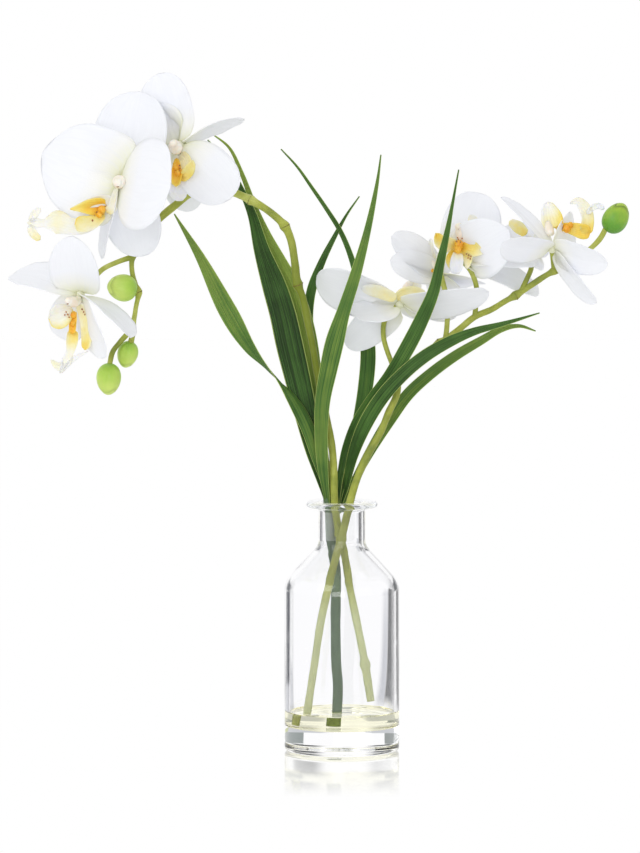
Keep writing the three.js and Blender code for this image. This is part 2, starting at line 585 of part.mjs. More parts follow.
place('vase', vase(), 'glass');
place('liquid', liquid([
  { points: TUFT_STEM, radius: TUFT_STEM_RADIUS },
  { points: RIGHT_STEM.main, radius: STEM_RADIUS },
]), 'liquid');
place('left_spray_stem', seated(spray(LEFT_STEM)), 'stem');
place('right_spray_stem', seated(spray(RIGHT_STEM)), 'stem');
place('leaf_tuft', oneBody(join([tube(TUFT_STEM, TUFT_STEM_RADIUS), ...Object.values(LEAVES).map(strap)])), 'leaf');
for (const [name, bloom] of blooms) {
  place(`${name}_petals`, whorl(bloom), 'petal');
  if (bloom.lip.length) place(`${name}_lip`, lip(bloom), 'lip');
}
for (const [name, shape] of buds) place(name, bud(shape), 'bud');

export default group;
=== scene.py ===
import math

import bpy
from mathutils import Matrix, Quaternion, Vector, noise


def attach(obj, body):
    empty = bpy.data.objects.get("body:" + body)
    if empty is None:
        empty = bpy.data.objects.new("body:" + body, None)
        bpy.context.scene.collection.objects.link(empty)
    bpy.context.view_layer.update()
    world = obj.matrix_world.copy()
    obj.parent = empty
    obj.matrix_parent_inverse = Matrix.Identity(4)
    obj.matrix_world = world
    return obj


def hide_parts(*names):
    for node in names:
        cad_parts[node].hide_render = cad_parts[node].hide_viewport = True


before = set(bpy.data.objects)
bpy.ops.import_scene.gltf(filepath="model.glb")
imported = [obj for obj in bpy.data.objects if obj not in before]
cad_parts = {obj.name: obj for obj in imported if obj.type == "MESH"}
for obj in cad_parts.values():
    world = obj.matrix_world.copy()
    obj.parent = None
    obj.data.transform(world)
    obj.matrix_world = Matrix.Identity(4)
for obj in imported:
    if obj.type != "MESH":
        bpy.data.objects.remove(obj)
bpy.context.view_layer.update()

mm = 0.001  # shapes are in millimetres, and a noise scale counts its patches for each metre
softStep, colourMix = {"interpolation_type": "SMOOTHSTEP"}, {"data_type": "RGBA"}


def fromHex(code):  # sRGB hex to the linear colour that shaders take
    channels = [int(code[i:i + 2], 16) / 255 for i in (1, 3, 5)]
    return (*[c / 12.92 if c <= 0.04045 else ((c + 0.055) / 1.055) ** 2.4 for c in channels], 1)


def addNode(tree, kind, settings=(), inputs=()):  # one node with its settings and its links or values
    node = tree.nodes.new(kind)
    for name, value in dict(settings).items():
        if name == "stops":
            ramp = node.color_ramp
            while len(ramp.elements) < len(value):
                ramp.elements.new(0.5)
            for element, (place, colour) in zip(ramp.elements, value):
                element.position = place
                element.color = fromHex(colour) if isinstance(colour, str) else (colour, colour, colour, 1)
        else:
            setattr(node, name, value)
    for name, value in dict(inputs).items():
        if isinstance(value, bpy.types.NodeSocket):
            tree.links.new(value, node.inputs[name])
        else:
            node.inputs[name].default_value = value
    return node


def emptyTree(owner):  # the cleared node tree of a material or a world
    owner.use_nodes = True
    owner.node_tree.nodes.clear()
    return owner.node_tree


def newMaterial(name, finish):  # finish: the shader's own values, each the same all over the surface
    material = bpy.data.materials.new(name)
    tree = emptyTree(material)
    surface = addNode(tree, "ShaderNodeBsdfPrincipled", inputs=finish)
    addNode(tree, "ShaderNodeOutputMaterial", inputs={"Surface": surface.outputs[0]})
    return material, tree, surface


def clearFinish(tint, ior, rough=0):  # glass and gel, which let the light straight through
    return {"Base Color": fromHex(tint), "Transmission Weight": 1, "IOR": ior, "Roughness": rough}


# plant tissue: reach is how far red, green and blue go in (m)
def livingFinish(rough, share, reach, specular=0.5):
    return {"Roughness": rough, "Specular IOR Level": specular, "Subsurface Weight": share,
            "Subsurface Radius": reach, "Subsurface Scale": 1}


# camera, set first so that every piece can be judged in the photograph's frame
cameraSpec = {
    "place": (-13.75, -3000, 454), "target": (-13.75, 0, 204), "mmPerPixel": 0.625, "framePixels": 853,
    "sensorWidth": 36, "clipEnd": 50,
}


def addCamera():
    data = bpy.data.cameras.new("studioCamera")
    camera = bpy.data.objects.new("studioCamera", data)
    place, target = Vector(cameraSpec["place"]) * mm, Vector(cameraSpec["target"]) * mm
    camera.location = place
    camera.rotation_euler = (target - place).to_track_quat("-Z", "Y").to_euler()
    # the frame's long side at the target
    viewHeight = cameraSpec["mmPerPixel"] * mm * cameraSpec["framePixels"]
    data.sensor_width = cameraSpec["sensorWidth"]
    data.lens = cameraSpec["sensorWidth"] * (target - place).length / viewHeight
    data.clip_end = cameraSpec["clipEnd"]
    bpy.context.scene.collection.objects.link(camera)
    bpy.context.scene.camera = camera


addCamera()
print("camera set")


# shape work that several pieces share
# a smooth line through the points, t from 0 to 1 with an equal share for each stretch
def alongCurve(points, t):
    place = min(max(t, 0), 1) * (len(points) - 1)
    i = min(int(place), len(points) - 2)
    w = place - i
    p1, p2 = points[i], points[i + 1]
    p0 = points[i - 1] if i else p1 * 2 - p2
    p3 = points[i + 2] if i + 2 < len(points) else p2 * 2 - p1
    d0, d1, d2 = [max((b - a).length ** 0.5, 1e-4) for a, b in ((p0, p1), (p1, p2), (p2, p3))]
    m1 = ((p1 - p0) / d0 - (p2 - p0) / (d0 + d1) + (p2 - p1) / d1) * d1
    m2 = ((p2 - p1) / d1 - (p3 - p1) / (d1 + d2) + (p3 - p2) / d2) * d1
    return p1 + m1 * w + (-3 * p1 + 3 * p2 - 2 * m1 - m2) * w ** 2 + (2 * p1 - 2 * p2 + m1 + m2) * w ** 3


def alongValues(values, t):  # the same for plain numbers
    return alongCurve([Vector((v, 10 * i, 0)) for i, v in enumerate(values)], t).x


def smooth(low, high, value):
    x = min(max((value - low) / (high - low), 0), 1)
    return x * x * (3 - 2 * x)


# a mesh in the making, with a material slot for each face and marks (across, along) for each point
def newBuild():
    return {"points": [], "faces": [], "slots": [], "marks": []}


def addGrid(build, rows, marks, slot=0, wrap=False):  # four-sided faces between rows of points
    start = len(build["points"])
    across = len(rows[0])
    for row, rowMarks in zip(rows, marks):
        build["points"] += row
        build["marks"] += rowMarks
    for i in range(len(rows) - 1):
        for j in range(across if wrap else across - 1):
            a, b = start + i * across + j, start + i * across + (j + 1) % across
            build["faces"].append((a, b, b + across, a + across))
            build["slots"].append(slot)
    return start


def closeEnd(build, ring, tip, mark, slot=0, flip=False):  # a fan of faces from a ring to its tip
    build["points"].append(tip)
    build["marks"].append(mark)
    top = len(build["points"]) - 1
    for a, b in zip(ring, ring[1:] + ring[:1]):
        build["faces"].append((b, a, top) if flip else (a, b, top))
        build["slots"].append(slot)


# a rod along the points: radiusAt(run, total, centre) gives its radius, endPush how far its ends stand out
def addTube(build, points, radiusAt, slot=0, step=1.3, sides=16, endPush=0.25):
    fineSteps = len(points) * 14
    fine = [alongCurve(points, i / fineSteps) for i in range(fineSteps + 1)]
    lengths = [0]
    for a, b in zip(fine, fine[1:]):
        lengths.append(lengths[-1] + (b - a).length)
    total = lengths[-1]
    count = max(4, round(total / step))
    centres, k = [], 0
    for i in range(count + 1):
        goal = total * i / count
        while k < len(fine) - 2 and lengths[k + 1] < goal:
            k += 1
        share = (goal - lengths[k]) / max(lengths[k + 1] - lengths[k], 1e-9)
        centres.append(fine[k].lerp(fine[k + 1], share))
    tangents = [(centres[min(i + 1, count)] - centres[max(i - 1, 0)]).normalized() for i in range(count + 1)]
    side = tangents[0].orthogonal().normalized()
    rows, marks = [], []
    for i, (centre, tangent) in enumerate(zip(centres, tangents)):
        side = (side - tangent * side.dot(tangent)).normalized()
        other = tangent.cross(side)
        radius = radiusAt(total * i / count, total, centre)
        row = []
        for j in range(sides):
            angle = 2 * math.pi * j / sides
            row.append(centre + (side * math.cos(angle) + other * math.sin(angle)) * radius)
        rows.append(row)
        marks.append([(j / sides, total * i / count / 100) for j in range(sides)])
    start = addGrid(build, rows, marks, slot, wrap=True)
    first = list(range(start, start + sides))
    last = [start + count * sides + j for j in range(sides)]
    closeEnd(build, first, centres[0] - tangents[0] * endPush, (0, 0), slot, flip=True)
    closeEnd(build, last, centres[-1] + tangents[-1] * endPush, (0, total / 100), slot)


def addSheet(build, rows, marks, thicknessAt, slot=0):  # a thin closed blade from a grid of points
    high, wide = len(rows), len(rows[0])
    upper, lower = [], []
    for i in range(high):
        up, down = [], []
        for j in range(wide):
            a = rows[min(i + 1, high - 1)][j] - rows[max(i - 1, 0)][j]
            b = rows[i][min(j + 1, wide - 1)] - rows[i][max(j - 1, 0)]
            normal = a.cross(b)
            normal = normal.normalized() if normal.length > 1e-9 else Vector((0, -1, 0))
            half = thicknessAt(*marks[i][j]) / 2
            up.append(rows[i][j] + normal * half)
            down.append(rows[i][j] - normal * half)
        upper.append(up)
        lower.append(down)
    topStart = addGrid(build, [row[::-1] for row in upper], [row[::-1] for row in marks], slot)
    lowStart = addGrid(build, lower, marks, slot)

    def top(i, j):
        return topStart + i * wide + wide - 1 - j

    def low(i, j):
        return lowStart + i * wide + j

    border = [(0, j) for j in range(wide)] + [(i, wide - 1) for i in range(1, high)]
    border += [(high - 1, j) for j in range(wide - 2, -1, -1)] + [(i, 0) for i in range(high - 2, 0, -1)]
    for (i, j), (m, n) in zip(border, border[1:] + border[:1]):
        build["faces"].append((low(m, n), low(i, j), top(i, j), top(m, n)))
        build["slots"].append(slot)


def addBall(build, centre, radii, slot, axes=None, rings=8, sides=12):
    ax, ay, az = axes or (Vector((1, 0, 0)), Vector((0, 1, 0)), Vector((0, 0, 1)))
    mark = 0.02  # the tone that a tepal has close to its hub
    rows, marks = [], []
    for i in range(1, rings):
        polar = math.pi * i / rings
        rows.append([centre + ax * (radii[0] * math.sin(polar) * math.cos(2 * math.pi * j / sides))
                     + ay * (radii[1] * math.sin(polar) * math.sin(2 * math.pi * j / sides))
                     - az * (radii[2] * math.cos(polar)) for j in range(sides)])
        marks.append([(j / sides, mark) for j in range(sides)])
    start = addGrid(build, rows, marks, slot, wrap=True)
    closeEnd(build, list(range(start, start + sides)), centre - az * radii[2], (0, mark), slot, flip=True)
    last = [start + (rings - 2) * sides + j for j in range(sides)]
    closeEnd(build, last, centre + az * radii[2], (0, mark), slot)


def turnedSides(along, turn=0):  # the ways across a blade and out of its face, with its turn in degrees
    side = Vector((0, -1, 0)).cross(along).normalized()
    side.rotate(Quaternion(along, math.radians(turn)))
    return side, along.cross(side)


def bladeThickness(spec, across, share=1):  # thickest along the middle
    more = (spec["thickness"] - spec["edgeThickness"]) * (1 - abs(2 * across - 1) ** 3) * share
    return spec["edgeThickness"] + more


def addPiece(name, build, materials, nodes):
    mesh = bpy.data.meshes.new(name)
    mesh.from_pydata([p * mm for p in build["points"]], [], build["faces"])
    for material in materials:
        mesh.materials.append(material)
    mesh.polygons.foreach_set("material_index", build["slots"])
    mesh.polygons.foreach_set("use_smooth", [True] * len(mesh.polygons))
    places = mesh.uv_layers.new(name="bladeMap")
    for loop in mesh.loops:
        places.data[loop.index].uv = build["marks"][loop.vertex_index]
    mesh.validate()
    piece = bpy.data.objects.new(name, mesh)
    bpy.context.scene.collection.objects.link(piece)
    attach(piece, "root")
    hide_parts(*nodes)
    return piece


# vase: soda-lime glass blown in a mould, clear as water; the thick rim has a grey tint that is painted shade
liquidSpec = {
    "top": 25, "radius": 33.03, "floor": 15.97, "floorRound": 2.5, "sides": 96,
    "meniscus": [(0, 0.6), (0.4, 0.2), (1.4, 0)],  # in from the glass, and up
    "tint": "#FCFAE0", "ior": 1.42, "rough": 0.01,
}
wetTop = liquidSpec["top"] + liquidSpec["meniscus"][0][1]
vaseSpec = {
    "height": 157, "bodyRadius": 36, "wall": 3, "floor": 16, "floorRound": 2.5,
    "baseRound": 2.5, "footHollow": 0.6,  # it stands on a ring round a shallow hollow
    "shoulderStart": 100.55, "shoulderRound": 16, "coneSlope": 43, "neckFillet": 9, "holeFillet": 11,
    "neckRadius": 14.6, "neckHole": 12.6, "mouthRound": 1.4,
    "rimRadius": 22.2, "rimThickness": 3.6, "rimFillet": 2.4,
    "sides": 128, "glassTint": "#FEFEFF", "rimShadeTint": "#E9ECF0", "ior": 1.5,
}


def arcPoints(centre, radius, start, end, count):
    angles = [math.radians(start + (end - start) * i / count) for i in range(count + 1)]
    return [(centre[0] + radius * math.cos(a), centre[1] + radius * math.sin(a)) for a in angles]


# a round body from [radius, height], with both ends on the axis
def addTurned(build, outline, sides, slot=0):
    inner = [(r, z) for r, z in outline if r > 1e-6]
    rows = [[Vector((r * math.cos(2 * math.pi * j / sides), r * math.sin(2 * math.pi * j / sides), z))
             for j in range(sides)] for r, z in inner]
    marks = [[(j / sides, z / 100) for j in range(sides)] for r, z in inner]
    start = addGrid(build, rows, marks, slot, wrap=True)
    first = list(range(start, start + sides))
    last = [start + (len(inner) - 1) * sides + j for j in range(sides)]
    closeEnd(build, first, Vector((0, 0, outline[0][1])), (0, 0), slot, flip=True)
    closeEnd(build, last, Vector((0, 0, outline[-1][1])), (0, 0), slot)


def filletHeight(radius, fillet, wall):  # height of the centre of a fillet that joins neck and cone smoothly
    s, slope = vaseSpec, math.radians(vaseSpec["coneSlope"])
    reach = s["shoulderRound"] - wall + fillet + s["shoulderStart"] * math.sin(slope)
    reach += (s["bodyRadius"] - s["shoulderRound"] - radius - fillet) * math.cos(slope)
    return reach / math.sin(slope)


def vaseOutline():  # from the middle of the underside, up the outside, over the rim and down the inside
    s = vaseSpec
    r, w, bend, hollow = s["bodyRadius"], s["wall"], s["shoulderRound"], s["footHollow"]
    top, rimHalf, under, mouth = s["height"], s["rimThickness"] / 2, s["rimFillet"], s["mouthRound"]
    shoulder = (r - bend, s["shoulderStart"])
    outline = [(0, hollow), (r - 9, hollow), (r - 7.5, hollow / 2), (r - 6, 0)]
    outline += arcPoints((r - s["baseRound"], s["baseRound"]), s["baseRound"], -90, 0, 8)
    outline += arcPoints(shoulder, bend, 0, s["coneSlope"], 16)
    neck, fillet = s["neckRadius"], s["neckFillet"]
    outline += arcPoints((neck + fillet, filletHeight(neck, fillet, 0)), fillet,
                         180 + s["coneSlope"], 180, 10)
    outline += [(neck, top - s["rimThickness"] - 3)]
    outline += arcPoints((neck + under, top - s["rimThickness"] - under), under, 180, 90, 6)
    outline += arcPoints((s["rimRadius"] - rimHalf, top - rimHalf), rimHalf, -90, 90, 10)
    hole, fillet = s["neckHole"], s["holeFillet"]
    outline += arcPoints((hole + mouth, top - mouth), mouth, 90, 180, 5)
    outline += arcPoints((hole + fillet, filletHeight(hole, fillet, w)), fillet, 180,
                         180 + s["coneSlope"], 10)
    outline += arcPoints(shoulder, bend - w, s["coneSlope"], 0, 14)
    outline += [(r - w, wetTop)]
    outline += arcPoints((r - w - s["floorRound"], s["floor"] + s["floorRound"]), s["floorRound"], 0, -90, 6)
    return outline + [(0, s["floor"])]


def addVase():
    s = vaseSpec
    inside, rimFoot = s["bodyRadius"] - s["wall"], s["height"] - s["rimThickness"]
    build = newBuild()
    addTurned(build, vaseOutline(), s["sides"])
    # the faces that the liquid wets bend light less; the rim gets a grey tint, painted shade
    for i, face in enumerate(build["faces"]):
        corners = [build["points"][k] for k in face]
        if all(s["floor"] - 0.1 < p.z < wetTop + 0.01 and p.xy.length < inside + 0.01 for p in corners):
            build["slots"][i] = 1
        elif all(p.z > rimFoot - 0.1 and p.xy.length > s["neckRadius"] for p in corners):
            build["slots"][i] = 2
    # bright, faintly wavy
    glass, tree, surface = newMaterial("sodaLimeGlass", clearFinish(s["glassTint"], s["ior"]))
    coords = addNode(tree, "ShaderNodeTexCoord")
    ripple = addNode(tree, "ShaderNodeTexNoise", inputs={  # mould ripple about 45 mm across
        "Vector": coords.outputs["Object"], "Scale": 22, "Detail": 0})
    bump = addNode(tree, "ShaderNodeBump", inputs={"Height": ripple.outputs[0], "Strength": 0.25,
                                                   "Distance": 0.0015})
    tree.links.new(bump.outputs[0], surface.inputs["Normal"])
    haze = addNode(tree, "ShaderNodeTexNoise", inputs={  # thin haze in patches about 17 mm across
        "Vector": coords.outputs["Object"], "Scale": 60, "Detail": 3})
    rough = addNode(tree, "ShaderNodeMapRange", inputs={"Value": haze.outputs[0], "To Min": 0.0,
                                                        "To Max": 0.02})
    tree.links.new(rough.outputs[0], surface.inputs["Roughness"])
    # nearly unseen
    wet = newMaterial("wettedGlass", clearFinish(s["glassTint"], s["ior"] / liquidSpec["ior"]))[0]
    rim = newMaterial("rimGlassPaintedShade", clearFinish(s["rimShadeTint"], s["ior"]))[0]  # grey tint: painted shade for the dark things the thick rim shows on edge
    addPiece("glassVase", build, [glass, wet, rim], ["vase"])


def addLiquid():
    s = liquidSpec
    corner = (s["radius"] - s["floorRound"], s["floor"] + s["floorRound"])
    outline = [(0, s["floor"])] + arcPoints(corner, s["floorRound"], -90, 0, 6)
    outline += [(s["radius"] - inward, s["top"] + rise) for inward, rise in s["meniscus"]]
    outline += [(0, s["top"])]
    build = newBuild()
    addTurned(build, outline, s["sides"])
    for i, face in enumerate(build["faces"]):  # against the glass the bending is left to the vase's own face
        build["slots"][i] = 0 if all(build["points"][k].z > s["top"] - 0.01 for k in face) else 1
    # clear resin poured as still water: a bright level top and a little yellow all through
    gel, tree, surface = newMaterial("clearSetGel", clearFinish(s["tint"], s["ior"], s["rough"]))
    coords = addNode(tree, "ShaderNodeTexCoord")
    waves = addNode(tree, "ShaderNodeTexNoise", inputs={  # flat waves about 11 mm across
        "Vector": coords.outputs["Object"], "Scale": 90, "Detail": 1})
    bump = addNode(tree, "ShaderNodeBump", inputs={"Height": waves.outputs[0], "Strength": 0.15,
                                                   "Distance": 0.0005})
    tree.links.new(bump.outputs[0], surface.inputs["Normal"])
    side = newMaterial("gelAgainstGlass", clearFinish(s["tint"], 1.0))[0]
    addPiece("stillLiquid", build, [gel, side], ["liquid"])


addVase()
addLiquid()
print("vase and liquid made")


# flower stems: smooth green plant skin, olive where the light has yellowed it, with ringed joints
stemSpec = {
    # the fourth colour and its share: painted reflection, the glass's white veil painted on the stems inside
    # the vase
    "skin": "#A6AD4A", "pale": "#CDD278", "shade": "#768439", "paintedVeil": "#DAE1B2", "paintedVeilShare": 0.75,
    "joint": "#7A6F35", "jointShade": "#5F5A2A", "patchMm": 26, "rough": 0.42,
    "radius": 2.45, "tipRadius": 1.65, "stalkRadius": 1.6,
    "jointSwell": 0.95, "jointReach": 2.6, "mostSwell": 1.1, "ringRise": 1.08, "ringHalf": 0.75,
}
leftStem = {
    "taper": 0.06,  # share that it thins by towards the tip
    "main": [(18, -3, 32), (14, -3, 57.5), (10, -3, 78), (5, -2.3, 102.5), (1, -1.6, 126),
             (-3.1, -0.9, 144.5), (-4.7, -0.6, 158.5), (-5.2, -0.5, 173.5), (-6, 0, 188.5),
             (-8.5, 0.5, 202.5), (-12, 1, 220.5), (-15.5, 1.5, 237.5), (-18, 1, 252.5), (-21, 0, 267.5),
             (-24.5, -1.5, 284.5), (-28, -3, 294.5), (-29.5, -5, 307.5), (-32, -6.5, 321.5), (-36, -7, 330),
             (-44.5, -6, 338), (-53, -4, 343.5), (-61, -1, 347.5), (-70, 3, 351), (-79, 6, 353),
             (-86.5, 6, 353), (-95, 4, 349), (-103.5, 1, 342.5), (-111.5, -1, 336), (-119.5, -1, 328),
             (-126.5, 0, 320)],
    "tip": [(-126, 0, 320.5), (-130.5, 0, 311), (-131, 0, 302), (-129, 0, 293), (-127, 0, 288),
            (-128.5, 0, 279), (-130, 0, 270.5), (-132.5, 0, 264), (-138, -1, 257.5), (-143, -2, 251),
            (-145, -3, 243)],
    "joints": [(14.5, -3, 55), (-1, -1.3, 136), (-57, -2.5, 345.5), (-35.5, -7, 329.5), (-27.5, -3, 293),
               (-130.5, 0, 311), (-127, 0, 288), (-131, 0, 267)],
    "stalks": [
        [(-76, 5.5, 352.5), (-80, 8, 362), (-88, 4, 373), (-98, -5, 379.5)],
        [(-118.5, -1, 329.5), (-122, -8, 341.5), (-127.5, -16, 350.5), (-135.5, -25, 356)],
        [(-131, 0, 310), (-140, -4, 307), (-148.5, -8, 303), (-155, -14, 296.5), (-161, -20, 289.5)],
        [(-131, 0, 268), (-130.5, 1, 263), (-132, 2, 256)],
        [(-127, 0, 288), (-129, -1, 289)],
    ],
}
rightStem = {
    "taper": 0.24,
    "main": [(-22.5, -2.5, 17), (-21.5, -3, 25.5), (-17, -5.5, 56), (-13, -7.3, 83), (-6.5, -8.6, 112),
             (-0.5, -8.5, 134), (4.5, -8.3, 155.5), (9, -8, 171), (15.5, -8, 186),
             (24, -7, 201), (29, -5, 213), (34, -3, 224), (35.5, -1, 234.5), (41, 0, 240.5), (50, 1, 248),
             (60, 2, 255.5), (65, 2, 258.5), (73, 3, 264.5), (83, 4, 272.5), (93.5, 5, 277), (101, 6, 281.5),
             (109, 7, 286), (119, 8, 292.5), (126.5, 8, 297.5), (133.5, 8, 301.5)],
    "tip": [(133, 8, 301), (143, 8, 307), (151, 8, 311.5), (157, 8, 316.5), (161.5, 8, 321.5), (165, 8, 328)],
    "joints": [(-14, -10.3, 76), (-0.5, -8.5, 134), (35.5, -1, 234.5), (61, 2, 256),
               (108.5, 7, 285.5), (133, 8, 301), (151, 8, 311.5)],
    "stalks": [
        [(34.5, -1, 233), (31.5, -2, 242.5), (28, -1, 252), (26, 0, 259.5), (26, 1, 268), (28.5, 3, 273.5),
         (34, 4, 278.5)],
        [(64.5, 2, 257.5), (65.5, 4, 266), (66, 8, 278.5), (64.5, 12, 288.5), (62, 15, 297)],
        [(83, 4, 271.5), (83.5, 3, 280), (84, 1, 290), (81, 1, 300), (76, 3, 307)],
        [(133, 8, 300), (132, 6, 306.5), (131.2, 1, 313.5)],
        [(111.5, 7, 287), (115, 9, 294.5), (118.5, 13, 302.5), (119, 17, 312)],
    ],
}


paintedVeilHeights = (0.08, 0.112)  # metres: below the first the painted paleness is in full, above the second there is none
# fresh green where it was cut, deeper where the neck shades it, riper half way up the left stem
stemBands = [
    ((-1, 0, 0.021, 0.026), "#A2A838", 0.8),  # heights between which it begins and ends (m), colour, share
    ((0.1, 0.116, 0.15, 0.16), "#8C9428", 0.55),
    ((0.175, 0.215, 0.3, 0.335), "#6E7C1E", 0.8),
]


def plantSkin(name, spec, bands=()):  # living stem skin: waxy, soft patches of paler and darker green, and washed pale inside the vase as a painted reflection
    material, tree, surface = newMaterial(name, livingFinish(spec["rough"], 0.12,
                                                             (0.002, 0.002, 0.0008), 0.25))
    coords = addNode(tree, "ShaderNodeTexCoord")
    broad = addNode(tree, "ShaderNodeTexNoise", inputs={
        "Vector": coords.outputs["Object"], "Scale": 1000 / spec["patchMm"], "Detail": 4, "Roughness": 0.6})
    tone = addNode(tree, "ShaderNodeValToRGB", {
        "stops": [(0.3, spec["shade"]), (0.5, spec["skin"]), (0.72, spec["pale"])]},
                   {"Fac": broad.outputs[0]})
    spot = addNode(tree, "ShaderNodeSeparateXYZ", inputs={"Vector": coords.outputs["Object"]})
    low = addNode(tree, "ShaderNodeMapRange", softStep, {
        "Value": spot.outputs[2], "From Min": paintedVeilHeights[0], "From Max": paintedVeilHeights[1],
        "To Min": spec["paintedVeilShare"], "To Max": 0})
    shown = addNode(tree, "ShaderNodeMix", colourMix, {  # painted reflection: the part inside the vase is washed pale where the glass veils it
        "Factor": low.outputs[0], "A": tone.outputs[0], "B": fromHex(spec["paintedVeil"])})
    for (low0, low1, high0, high1), code, share in bands:
        begun = addNode(tree, "ShaderNodeMapRange", softStep, {
            "Value": spot.outputs[2], "From Min": low0, "From Max": low1, "To Min": 0, "To Max": share})
        ended = addNode(tree, "ShaderNodeMapRange", softStep, {
            "Value": spot.outputs[2], "From Min": high0, "From Max": high1,
            "To Min": begun.outputs[0], "To Max": 0})
        shown = addNode(tree, "ShaderNodeMix", colourMix, {
            "Factor": ended.outputs[0], "A": shown.outputs["Result"], "B": fromHex(code)})
    tree.links.new(shown.outputs["Result"], surface.inputs["Base Color"])
    # pores about 1 mm across, drawn coarse enough to show
    fine = addNode(tree, "ShaderNodeTexNoise", inputs={
        "Vector": coords.outputs["Object"], "Scale": 900, "Detail": 2})
    bump = addNode(tree, "ShaderNodeBump", inputs={"Height": fine.outputs[0], "Strength": 0.25,
                                                   "Distance": 0.0003})
    tree.links.new(bump.outputs[0], surface.inputs["Normal"])
    return material


stemSkin = plantSkin("stemSkin", stemSpec, stemBands[:2])
leftStemSkin = plantSkin("leftStemSkin", stemSpec, stemBands)
jointSkin = plantSkin("jointSkin", {  # dry and brown, rougher than the stem
    "skin": stemSpec["joint"], "pale": stemSpec["skin"], "shade": stemSpec["jointShade"],
    "paintedVeil": stemSpec["joint"], "paintedVeilShare": 0, "patchMm": 3, "rough": 0.6})


def addStem(name, spec, node, skin):
    joints, main, tip = [[Vector(p) for p in spec[key]] for key in ("joints", "main", "tip")]
    build = newBuild()

    def thinned(base, share):
        return base * (1 - spec["taper"] * smooth(0.4, 1, share))

    def radiusOf(base, taper=False):
        def radiusAt(run, total, centre):
            swell = 0
            for joint in joints:
                near = (centre - joint).length
                swell += stemSpec["jointSwell"] * math.exp(-(near / stemSpec["jointReach"]) ** 2)
            # lumps of 11 and 2.5 mm
            uneven = noise.noise(centre * 0.09) * 0.28 + noise.noise(centre * 0.4) * 0.1
            size = thinned(base, run / total) if taper else base
            return size + min(swell, stemSpec["mostSwell"]) + uneven
        return radiusAt

    def stalkRadius(run, total, centre):  # a little thicker at the stem and under the bloom
        return stemSpec["stalkRadius"] * (1 + 0.25 * math.exp(-run / 3) + 0.3 * math.exp((run - total) / 3))

    addTube(build, main, radiusOf(stemSpec["radius"], True), sides=20)
    addTube(build, tip, radiusOf(stemSpec["tipRadius"]), slot=2)
    path, count = main + tip, len(main)
    for joint in [j for j in joints if j.z > vaseSpec["height"]]:  # the dry brown ring left by a bract
        near = min(range(len(path) - 1), key=lambda k: ((path[k] + path[k + 1]) / 2 - joint).length)
        way = (path[near + 1] - path[near]).normalized()
        across = way.orthogonal().normalized()
        thick = thinned(stemSpec["radius"], near / count) if near < count - 1 else stemSpec["tipRadius"]
        size = thick + stemSpec["ringRise"]
        addBall(build, joint, (size, size, stemSpec["ringHalf"]), 1,
                (across, way.cross(across), way), sides=20)
    for stalk in spec["stalks"]:
        addTube(build, [Vector(p) for p in stalk], stalkRadius, slot=2, sides=14, step=1)
    addPiece(name, build, [skin, jointSkin, stemSkin], [node])


addStem("leftSprayStem", leftStem, "left_spray_stem", leftStemSkin)
addStem("rightSprayStem", rightStem, "right_spray_stem", stemSkin)
print("stems made")


# leaves: long straps folded along the middle, deep green with pale edges and veins that run their whole
# length
leafSpec = {
    "thickness": 0.7, "edgeThickness": 0.3, "fold": 0.12, "wave": 0.05, "rows": 90, "columns": 12,
    "deep": "#1F380F", "mid": "#4A7030", "light": "#98AB4C", "edge": "#BCCB74", "tip": 0.05,
    "usualWidth": 10, "veinPitch": 0.9,
    "stem": [(-3.5, 4, 16.5), (-2.5, 4, 41), (-3.5, 4, 54), (-4, 4, 80), (-4, 4, 112), (-7, 3.6, 131.5),
             (-8, 3.2, 150), (-8.6, 3.2, 160)],
    "stemRadius": 3.15,
}
